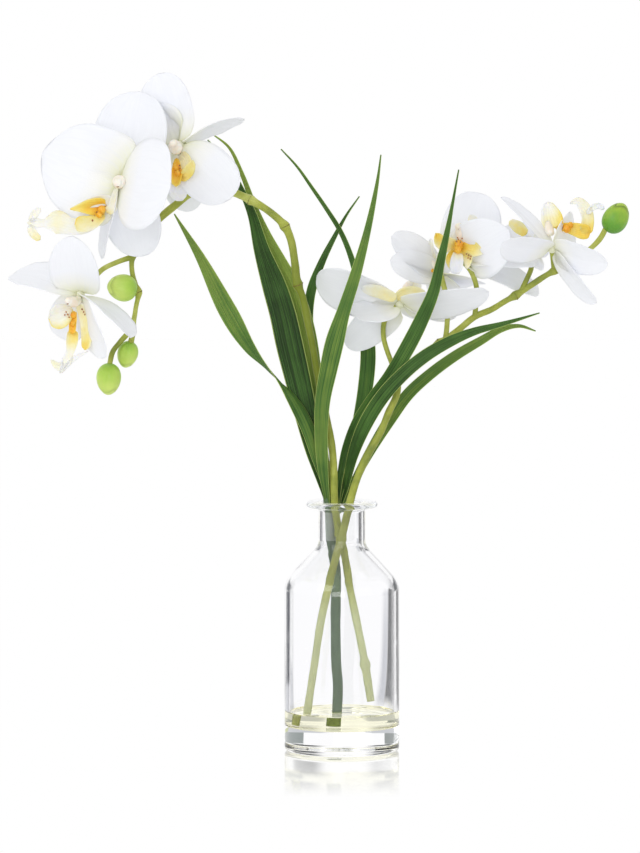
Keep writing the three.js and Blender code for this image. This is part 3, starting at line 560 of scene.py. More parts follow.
# each leaf from its tip to its root: points along the middle, widths, turns of its face in degrees; tone is
# how light its green is, and tip how much lighter it gets towards the end
leaves = {
    "outerLeft": {
        "tone": 0.43, "tip": 0.2,
        "points": [(-104, -16, 337.5), (-88, -17, 311), (-71, -17, 277.5), (-56.5, -16, 254),
                   (-45.5, -14, 241), (-32.5, -11, 225), (-22, -7, 205.5), (-15, -3, 184), (-10.5, 1, 168),
                   (-8.6, 2.5, 157), (-8, 3, 146)],
        "widths": [0.8, 6, 11.5, 9, 5.5, 9.5, 9, 7.5, 5, 4, 3.5],
        "turns": [20, 10, 0, 35, 70, 120, 160, 170, 180, 180, 180],
    },
    "wideLeft": {
        "tone": 0.25, "tip": 0.18,
        "points": [(-84, 16, 382.5), (-72.5, 15, 370), (-63, 13, 352), (-56, 10, 336), (-50, 6, 314),
                   (-42.5, 3, 292.5), (-37, 1, 274.5), (-32.5, -1, 254.5), (-27.5, -2, 233.5),
                   (-22.5, -2, 211.5), (-18, 0, 189.5), (-12, 2.5, 168), (-9, 3.2, 157), (-8, 3.5, 146)],
        "widths": [0.8, 2.5, 4, 6, 10, 15, 16.5, 17, 16, 14, 10, 6, 4.5, 3.5],
        "turns": [30, 30, 20, 10, 5, 0, 0, 0, 0, 0, 0, 10, 20, 20],
    },
    "innerLeft": {
        "tone": 0.75,
        "points": [(-81, 22, 386), (-70.5, 21, 377.5), (-62.5, 19, 361), (-54.5, 16, 340), (-46.5, 13, 322.5),
                   (-38, 11, 306.5), (-30.5, 9, 292), (-24, 8, 273.5), (-19, 7.5, 251.5), (-15.5, 7, 220),
                   (-11, 5.5, 185), (-7.5, 4.5, 165), (-6, 4, 150)],
        "widths": [0.8, 2, 3, 4, 5.5, 8, 10, 10, 9, 8, 6, 4, 3.5],
        "turns": [30, 30, 20, 10, 10, 20, 20, 10, 0, 0, 20, 20, 20],
    },
    "backLeft": {
        "tone": 0.35,
        "points": [(11, 22, 347), (3, 21, 335.5), (-4.5, 20, 322), (-12.5, 18, 306), (-19, 16, 288.5),
                   (-20.5, 14, 273), (-19, 13, 254), (-15, 11, 226), (-11.5, 8, 195),
                   (-7.5, 5, 165), (-6, 4, 148)],
        "widths": [0.8, 1.7, 3, 4.6, 6, 6.5, 6.5, 6, 5, 4, 3.5],
        "turns": [30, 20, 10, 10, 10, 30, 30, 30, 30, 30, 30],
    },
    "frontMiddle": {
        "tone": 0.5,
        "points": [(24, -12, 374), (22, -13, 358.5), (18.5, -14, 340), (14, -15, 320.5),
                   (8, -16, 299), (1, -16, 277), (-4.5, -15, 258.5), (-8.5, -13, 240.5), (-12, -10, 221.5),
                   (-13, -7.5, 202.5), (-12, -4.5, 180), (-9.5, 0, 161), (-8, 2.5, 147)],
        "widths": [0.8, 2, 3.5, 5, 7, 8.5, 11.5, 11, 9.5, 8.5, 7, 4.5, 4],
        "turns": [20, 10, 0, 0, 0, 10, 0, 0, 0, 0, 10, 30, 40],
    },
    "backMiddle": {
        "tone": 0.4,
        "points": [(-38, 4, 377), (-28, 8, 366), (-18.5, 12, 352.5), (-10, 16, 340),
                   (-1, 20, 325.5), (5, 23, 311.5), (10, 25, 294.5), (14, 26, 272), (16.5, 25, 250),
                   (15, 21, 228.5), (11.5, 16, 210), (5, 10.5, 185), (-0.5, 7.5, 163.5), (-6, 4.5, 140)],
        "widths": [0.8, 1.6, 2.3, 2.8, 3.3, 3.8, 5, 8, 9.5, 9.5, 8, 6, 4, 3.5],
        "turns": [20, 20, 20, 20, 20, 20, 20, 15, 0, 0, 10, 20, 20, 20],
    },
    "tallRight": {
        "tone": 0.37,
        "points": [(72, -20, 365), (68, -21, 343), (65, -21, 327), (61, -21, 309), (56.5, -20, 289.5),
                   (49, -17, 271.5), (40.5, -13, 254), (30.5, -8, 236.5), (18.5, -1, 220.5), (9.5, 4, 206),
                   (2.5, 6.5, 188.5), (-1, 7, 171), (-3.5, 6, 151), (-6, 4.5, 138)],
        "widths": [0.8, 2, 3.5, 5.5, 7.3, 9, 9.6, 9, 7.5, 7, 5.5, 4.5, 3.5, 3.5],
        "turns": [10, 0, 0, 0, 0, 0, 10, 20, 20, 10, 20, 30, 30, 30],
    },
    "lowRight": {
        "tone": 0.34,
        "points": [(122.5, -16, 276), (111.5, -15, 272.5), (98, -14, 268.5), (82.5, -14, 264.5),
                   (67.5, -14, 258.5), (52, -14, 249.5), (38, -13, 238), (25, -11, 223.5), (14.5, -5, 206),
                   (7, 3, 186), (2, 6.5, 163.5), (-3, 6.5, 149.5), (-6, 5, 138)],
        "widths": [0.8, 2, 3.5, 5, 7, 8, 8.5, 9, 9, 7, 4.5, 3.5, 3.5],
        "turns": [40, 30, 20, 10, 0, 0, 0, 0, 0, 10, 30, 30, 30],
    },
    "lowBack": {
        "tone": 0.56,
        "points": [(121, 4, 263.5), (111, 5, 266.5), (100, 6, 264.5), (86.5, 7, 257),
                   (70.5, 8, 247.5), (55, 9, 236), (41.5, 10, 223.5), (30, 10, 207.5), (17.5, 9.5, 187),
                   (6.5, 8.5, 166.5), (-2.5, 6.5, 149), (-6, 5, 137)],
        "widths": [0.8, 2.5, 4, 5.5, 6.5, 7, 7.5, 7.5, 6, 4.5, 3.5, 3.5],
        "turns": [30, 30, 20, 10, 0, 0, 0, 0, 10, 20, 30, 30],
    },
}


def leafSkin(name, tone, tip):  # leaf blade with a waxy skin: parallel veins, pale edges, mottled green
    material, tree, surface = newMaterial(name, livingFinish(0.45, 0.15, (0.001, 0.002, 0.0005), 0.2))
    place = addNode(tree, "ShaderNodeUVMap", {"uv_map": "bladeMap"})
    parts = addNode(tree, "ShaderNodeSeparateXYZ", inputs={"Vector": place.outputs[0]})
    across = addNode(tree, "ShaderNodeMath", {"operation": "SUBTRACT"}, {0: parts.outputs[0], 1: 0.5})
    out = addNode(tree, "ShaderNodeMath", {"operation": "ABSOLUTE"}, {0: across.outputs[0]})
    coords = addNode(tree, "ShaderNodeTexCoord")
    stretch = addNode(tree, "ShaderNodeMapping", inputs={"Vector": place.outputs[0], "Scale": (9, 1.2, 1)})
    streaks = addNode(tree, "ShaderNodeTexNoise", inputs={  # long streaks, about 20 across the blade
        "Vector": stretch.outputs[0], "Scale": 2.2, "Detail": 5, "Roughness": 0.65})
    mottle = addNode(tree, "ShaderNodeTexNoise", inputs={  # patches about 25 mm across
        "Vector": coords.outputs["Object"], "Scale": 40, "Detail": 2})
    mixed = addNode(tree, "ShaderNodeMath", {"operation": "MULTIPLY_ADD"}, {
        0: mottle.outputs[0], 1: 0.35, 2: tone - 0.675})
    lengthwise = addNode(tree, "ShaderNodeMath", {"operation": "MULTIPLY_ADD"}, {
        0: streaks.outputs[0], 1: 1.0, 2: mixed.outputs[0]})
    young = addNode(tree, "ShaderNodeMapRange", softStep, {  # yellower towards the tip
        "Value": parts.outputs[1], "From Min": 0.05, "From Max": 0.42, "To Min": tip, "To Max": 0})
    total = addNode(tree, "ShaderNodeMath", {"operation": "ADD"},
                    {0: lengthwise.outputs[0], 1: young.outputs[0]})
    green = addNode(tree, "ShaderNodeValToRGB", {
        "stops": [(0.2, leafSpec["deep"]), (0.45, leafSpec["mid"]), (0.85, leafSpec["light"])]},
        {"Fac": total.outputs[0]})
    rim = addNode(tree, "ShaderNodeMapRange", softStep, {
        "Value": out.outputs[0], "From Min": 0.455, "From Max": 0.5, "To Max": 0.8})
    edged = addNode(tree, "ShaderNodeMix", colourMix, {
        "Factor": rim.outputs[0], "A": green.outputs[0], "B": fromHex(leafSpec["edge"])})
    tree.links.new(edged.outputs["Result"], surface.inputs["Base Color"])
    veinCount = round(leafSpec["usualWidth"] / leafSpec["veinPitch"])
    spread = addNode(tree, "ShaderNodeMath", {"operation": "MULTIPLY"}, {
        0: parts.outputs[0], 1: 2 * math.pi * veinCount})
    veins = addNode(tree, "ShaderNodeMath", {"operation": "SINE"}, {0: spread.outputs[0]})
    bump = addNode(tree, "ShaderNodeBump", inputs={"Height": veins.outputs[0], "Strength": 0.35,
                                                   "Distance": 0.0003})
    tree.links.new(bump.outputs[0], surface.inputs["Normal"])
    return material


def addLeaf(build, spec, slot):
    points = [Vector(p) for p in spec["points"]]
    rows, marks = [], []
    high, wide = leafSpec["rows"], leafSpec["columns"]
    for i in range(high + 1):
        t = i / high
        centre = alongCurve(points, t)
        along = (alongCurve(points, min(t + 0.004, 1)) - alongCurve(points, max(t - 0.004, 0))).normalized()
        side, facing = turnedSides(along, alongValues(spec["turns"], t))
        half = max(alongValues(spec["widths"], t) / 2, 0.25)
        row, rowMarks = [], []
        # a fold along the middle, and slow waves of 20 mm that grow towards the edges
        for j in range(wide + 1):
            s = 2 * j / wide - 1  # from one edge to the other, -1 to 1
            fold = 2 * half * leafSpec["fold"] * (math.sqrt(s * s + 0.01) - 0.1)
            wave = noise.noise(centre * 0.05 + Vector((0, 0, s * 0.4))) * leafSpec["wave"] * half * abs(s)
            row.append(centre + side * half * s + facing * (fold + wave))
            rowMarks.append((j / wide, t))
        rows.append(row)
        marks.append(rowMarks)
    addSheet(build, rows, marks, lambda across, t: bladeThickness(leafSpec, across), slot)


def addLeafTuft():
    build = newBuild()
    skins = []
    for name, spec in leaves.items():
        skins.append(leafSkin("leaf" + name[0].upper() + name[1:], spec["tone"],
                              spec.get("tip", leafSpec["tip"])))
        addLeaf(build, spec, len(skins) - 1)
    # dark stem, green at its foot and washed pale in the vase as a painted reflection; the pale band in the
    # neck is also a painted reflection of the glass
    skins.append(plantSkin("tuftStemSkin", {
        "skin": "#587050", "pale": "#7A9468", "shade": "#445C3C", "paintedVeil": "#6A7E66", "paintedVeilShare": 0.5,
        "patchMm": 30, "rough": 0.5,
    }, [((-1, 0, 0.021, 0.026), "#84962C", 0.9), ((0.1315, 0.1325, 0.149, 0.151), "#C2C9C2", 0.62)]))
    addTube(build, [Vector(p) for p in leafSpec["stem"]],
            lambda run, total, centre: leafSpec["stemRadius"] + noise.noise(centre * 0.08) * 0.3,
            slot=len(skins) - 1, sides=20)
    addPiece("leafTuft", build, skins, ["leaf_tuft"])


addLeafTuft()
print("leaves made")


# blooms: five white tepals round a small hub, a lip of three lobes, a callus and the column
bloomSpec = {
    "thickness": 0.75, "edgeThickness": 0.35, "cup": 0.15, "fullness": 2.3, "claw": 0.12, "clawStart": 1.6,
    "hubRadius": 2.8, "rows": 30, "columns": 18, "rowShift": 1.35, "leastHalf": 0.35,
    "wavy": 1.3, "grooveDepth": 0.4, "grooveWidth": 1.4,
    "white": "#F2F4FB", "cream": "#F3F3EE", "nearRoot": "#EDEEDA", "root": "#E2E3BC", "vein": "#EAECF4",
}
# skew below 1 moves the widest place towards the hub, sweep draws the edges back, and the third is a fullness
outlines = {
    "broad": (0.8, 0.35), "round": (0.9, 0.2), "oval": (1, 0.1), "fan": (0.75, 0.08), "spoon": (1.17, 0.06),
    "clawed": (1.28, 0.02), "heart": (0.8, 0.42, 2.9),
}
# each tepal: across and up to its tip, length, lean (1 away from the front), width, turn in degrees, bow,
# outline and perhaps its own cup
blooms = {
    "leftBloom1": {
        "hub": (-138, -28, 357), "node": "left_bloom_1",
        "tepals": [(13, 56, 60, 1, 47, -15, -3, "oval"), (-48, 18, 54.5, 1, 60, 0, 5, "heart"),
                   (33, -1, 54, -1, 58, -13, 3, "clawed", 0.02), (14, -46, 50, 1, 38, 20, -4, "oval"),
                   (-11, -47, 49, 1, 30, 75, 0, "oval")],
    },
    "leftBloom2": {
        "hub": (-101, -8, 380), "node": "left_bloom_2",
        "tepals": [(-13, 44, 47, 1, 34, -15, 3, "oval"), (32, -33, 50, -1, 36, -15, 1, "spoon", 0.05),
                   (40, 15, 46, 1, 24, 72, -3, "oval"), (4, -42, 50, 1, 26, 10, 2, "oval"),
                   (-37, 7, 48, 1, 48, 0, 4, "broad")],
    },
    "leftBloom3": {
        "hub": (-162, -22, 288), "node": "left_bloom_3",
        "tepals": [(-4, 37, 42, -1, 33, -20, 3, "round"), (-44, 11, 50, 1, 36, 62, 4, "oval"),
                   (32, -25, 48, -1, 34, -80, 3, "oval"), (16, -38, 44, -1, 24, 55, 2, "oval"),
                   (-13, -29, 40, 1, 26, 10, 2, "oval")],
    },
    "rightBloom1": {
        "hub": (36, 4, 280), "node": "right_bloom_1",
        "tepals": [(-52, 17, 55, 1, 32, -33, 3, "spoon"), (55, 9, 58, -1, 27, 45, 3, "fan"),
                   (-33, -27, 44, 1, 23, 8, 3, "fan"), (-31, -5, 35, -1, 24, 55, -3, "oval"),
                   (35, -8, 42, 1, 20, 82, 5, "oval")],
    },
    "rightBloom2": {
        "hub": (61, 16, 299), "node": "right_bloom_2",
        "tepals": [(-30, 24, 42, -1, 22, 30, 2, "oval"), (-31, 9, 40, -1, 20, 12, 2, "oval"),
                   (5, 25, 40, 1, 22, 70, 2, "oval"), (24, -9, 44, 1, 30, 60, 2, "oval"),
                   (11, -18, 38, 1, 24, 40, 2, "oval")],
    },
    "rightBloom3": {
        "hub": (75, 4, 309), "node": "right_bloom_3",
        "tepals": [(12, 40, 48, 1, 37, 0, 3, "fan"), (28, 19, 40, -1, 38, 0, 3, "round"),
                   (47, -2, 47.2, 1, 28, -55, 3, "oval"), (49, -23, 58, 1, 22, -50, 2, "fan"),
                   (-10, 15, 28, 1, 20, 60, 2, "oval")],
    },
    "rightBloom4": {
        "hub": (131, 0, 315), "node": "right_bloom_4",
        "tepals": [(-31, 32, 48, 1, 15, 60, 2, "oval"), (-32, 5, 44, -1, 25, -45, 2, "spoon"),
                   (33, -8, 42, -1, 22, 30, 2, "fan"), (27, -33, 44, -1, 16, 55, 2, "oval"),
                   (15, 16, 38, 1, 26, 40, 2, "oval")],
    },
    "rightBloom5": {
        "hub": (119, 18, 314), "node": "right_bloom_5",
        "tepals": [(-11, 15, 34, 1, 18, 30, 2, "oval"), (-15, -2, 34, 1, 22, 40, 2, "oval"),
                   (0, -12, 34, 1, 20, 20, 2, "oval"), (10, 9, 34, 1, 20, 30, 2, "oval")],
        "strayLobes": [([(-3.7, -4, 9.6), (-8.8, -6, 14.1), (-14.5, -7, 17.8)], [5, 7.5, 4], [0],
                        [0.4, 0.5, 0.62], 0.3, (0.1, 0))],
    },
}


def tepalSkin():  # petal tissue: domed cells give a soft satin white, thin enough that light comes through
    material, tree, surface = newMaterial("orchidPetal", livingFinish(0.5, 0.35, (0.003, 0.003, 0.003), 0.35))
    place = addNode(tree, "ShaderNodeUVMap", {"uv_map": "bladeMap"})
    parts = addNode(tree, "ShaderNodeSeparateXYZ", inputs={"Vector": place.outputs[0]})
    base = addNode(tree, "ShaderNodeValToRGB", {"stops": [
        (0.0, bloomSpec["root"]), (0.07, bloomSpec["nearRoot"]), (0.2, bloomSpec["cream"]),
        (0.42, bloomSpec["white"])]}, {"Fac": parts.outputs[1]})
    stretch = addNode(tree, "ShaderNodeMapping", inputs={"Vector": place.outputs[0], "Scale": (26, 2.2, 1)})
    branches = addNode(tree, "ShaderNodeTexNoise", inputs={  # branching veins about 1.5 mm apart
        "Vector": stretch.outputs[0], "Scale": 1, "Detail": 3, "Distortion": 0.6})
    line = addNode(tree, "ShaderNodeMapRange", softStep, {
        "Value": branches.outputs[0], "From Min": 0.5, "From Max": 0.62, "To Min": 0, "To Max": 0.2})
    veined = addNode(tree, "ShaderNodeMix", colourMix, {
        "Factor": line.outputs[0], "A": base.outputs[0], "B": fromHex(bloomSpec["vein"])})
    tree.links.new(veined.outputs["Result"], surface.inputs["Base Color"])
    coords = addNode(tree, "ShaderNodeTexCoord")
    cells = addNode(tree, "ShaderNodeTexNoise", inputs={  # cells drawn 0.7 mm across, coarse enough to show
        "Vector": coords.outputs["Object"], "Scale": 1400, "Detail": 1})
    relief = addNode(tree, "ShaderNodeMath", {"operation": "MULTIPLY_ADD"}, {
        0: branches.outputs[0], 1: 0.6, 2: cells.outputs[0]})
    bump = addNode(tree, "ShaderNodeBump", inputs={"Height": relief.outputs[0], "Strength": 0.3,
                                                   "Distance": 0.0003})
    tree.links.new(bump.outputs[0], surface.inputs["Normal"])
    return material


# lip tissue: waxy and thin, from orange at the callus through egg yellow to a clear white rim
def lipTissue():
    material, tree, surface = newMaterial("orchidLip", livingFinish(0.4, 0.3, (0.002, 0.0016, 0.0008)))
    place = addNode(tree, "ShaderNodeUVMap", {"uv_map": "bladeMap"})
    parts = addNode(tree, "ShaderNodeSeparateXYZ", inputs={"Vector": place.outputs[0]})
    coords = addNode(tree, "ShaderNodeTexCoord")
    clouds = addNode(tree, "ShaderNodeTexNoise", inputs={  # patches about 4 mm across
        "Vector": coords.outputs["Object"], "Scale": 250, "Detail": 3})
    level = addNode(tree, "ShaderNodeMath", {"operation": "SUBTRACT"}, {0: parts.outputs[1], 1: 0.13})
    tone = addNode(tree, "ShaderNodeMath", {"operation": "MULTIPLY_ADD"}, {
        0: clouds.outputs[0], 1: 0.26, 2: level.outputs[0]})
    base = addNode(tree, "ShaderNodeValToRGB", {"stops": lipSpec["tones"]}, {"Fac": tone.outputs[0]})
    tree.links.new(base.outputs[0], surface.inputs["Base Color"])
    lineCount = round(lipSpec["usualWidth"] / lipSpec["linePitch"])
    spread = addNode(tree, "ShaderNodeMath", {"operation": "MULTIPLY"}, {
        0: parts.outputs[0], 1: 2 * math.pi * lineCount})
    lines = addNode(tree, "ShaderNodeMath", {"operation": "SINE"}, {0: spread.outputs[0]})
    relief = addNode(tree, "ShaderNodeMath", {"operation": "MULTIPLY_ADD"}, {
        0: clouds.outputs[0], 1: 2.0, 2: lines.outputs[0]})
    bump = addNode(tree, "ShaderNodeBump", inputs={"Height": relief.outputs[0], "Strength": 0.25,
                                                   "Distance": 0.0003})
    tree.links.new(bump.outputs[0], surface.inputs["Normal"])
    return material


def waxyTissue(name, low, high, scale, rough):  # small waxy organs: two close tones in soft patches
    material, tree, surface = newMaterial(name, livingFinish(rough, 0.2, (0.002, 0.0012, 0.0008)))
    coords = addNode(tree, "ShaderNodeTexCoord")
    clouds = addNode(tree, "ShaderNodeTexNoise", inputs={
        "Vector": coords.outputs["Object"], "Scale": scale, "Detail": 2})
    tone = addNode(tree, "ShaderNodeValToRGB", {"stops": [(0.35, low), (0.65, high)]},
                   {"Fac": clouds.outputs[0]})
    tree.links.new(tone.outputs[0], surface.inputs["Base Color"])
    bump = addNode(tree, "ShaderNodeBump", inputs={"Height": clouds.outputs[0], "Strength": 0.3,
                                                   "Distance": 0.0004})
    tree.links.new(bump.outputs[0], surface.inputs["Normal"])
    return material


lipSpec = {
    "thickness": 0.75, "edgeThickness": 0.35, "step": 1.1, "columns": 12, "leastHalf": 0.3,
    "usualWidth": 8, "linePitch": 1.1, "capShape": (0.95, 0.8, 0.75), "capPush": 0.4,
    "tones": [(0.0, "#F0A820"), (0.14, "#F5BE36"), (0.3, "#F5D152"), (0.45, "#F3E088"), (0.6, "#F3E9B8"),
              (0.76, "#F4F0DA"), (0.9, "#F4F3EC"), (1.0, "#F3F4F9")],
}
petal = tepalSkin()
lipSkin = lipTissue()
callusSkin = waxyTissue("orchidCallus", "#EA9E18", "#F3BC38", 300, 0.35)  # orange warts, patches of 3.3 mm
columnSkin = waxyTissue("orchidColumn", "#F4E6D2", "#FAF5EC", 160, 0.4)  # peach and cream, patches of 6 mm
# red-brown pigment, patches of 2 mm
freckleSkin = waxyTissue("orchidFreckle", "#8A4E2A", "#B98550", 500, 0.5)


def tepalGrid(hub, spec):
    across, up, length, lean, width, turn, bow, outline = spec[:8]
    skew, sweep, full = (outlines[outline] + (bloomSpec["fullness"],))[:3]
    rows, columns, wavy = [bloomSpec[key] for key in ("rows", "columns", "wavy")]
    cup = spec[8] if len(spec) > 8 else bloomSpec["cup"]
    depth = lean * math.sqrt(max(length ** 2 - across ** 2 - up ** 2, 0))
    along = Vector((across, depth, up))
    reach = along.length - bloomSpec["clawStart"]
    along.normalize()
    side, facing = turnedSides(along, turn)
    grid, marks = [], []
    for i in range(rows + 1):
        t = 1 - (1 - i / rows) ** bloomSpec["rowShift"]  # rows lie closer at the round tip
        swell = max(1 - abs(2 * t ** skew - 1) ** full, 0) ** (1 / full)
        half = max(width / 2 * max(swell, bloomSpec["claw"] * (1 - t)), bloomSpec["leastHalf"])
        middle = hub + along * (bloomSpec["clawStart"] + reach * t) + facing * (bow * 4 * t * (1 - t))
        row, rowMarks = [], []
        # waves of 14 and 6 mm that grow towards the tip, and a groove along the middle
        for j in range(columns + 1):
            s = 2 * j / columns - 1  # from one edge to the other, -1 to 1
            point = middle + side * (half * s) + facing * (cup * half * s * s)
            point -= along * (sweep * half * s * s)
            ripple = noise.noise(point * 0.07) * wavy * t
            ripple += noise.noise(point * 0.16 + hub) * wavy * 0.6 * s * s * t
            inGroove = math.exp(-(s * half / bloomSpec["grooveWidth"]) ** 2)
            groove = -bloomSpec["grooveDepth"] * inGroove * (1 - 0.6 * t)
            row.append(point + facing * (ripple + groove))
            rowMarks.append((j / columns, t))
        grid.append(row)
        marks.append(rowMarks)
    return grid, marks


def addTepals(name, spec):
    hub = Vector(spec["hub"])
    build = newBuild()
    for tepal in spec["tepals"]:
        grid, marks = tepalGrid(hub, tepal)
        addSheet(build, grid, marks, lambda across, t: bladeThickness(bloomSpec, across, 1 - t ** 6))
    addBall(build, hub, [bloomSpec["hubRadius"]] * 3, 0)
    for lobe in spec.get("strayLobes", []):  # a lobe of a lip that is otherwise hidden
        addLobe(build, hub, lobe, 1)
    addPiece(name + "Tepals", build, [petal, lipSkin], [spec["node"] + "_petals"])


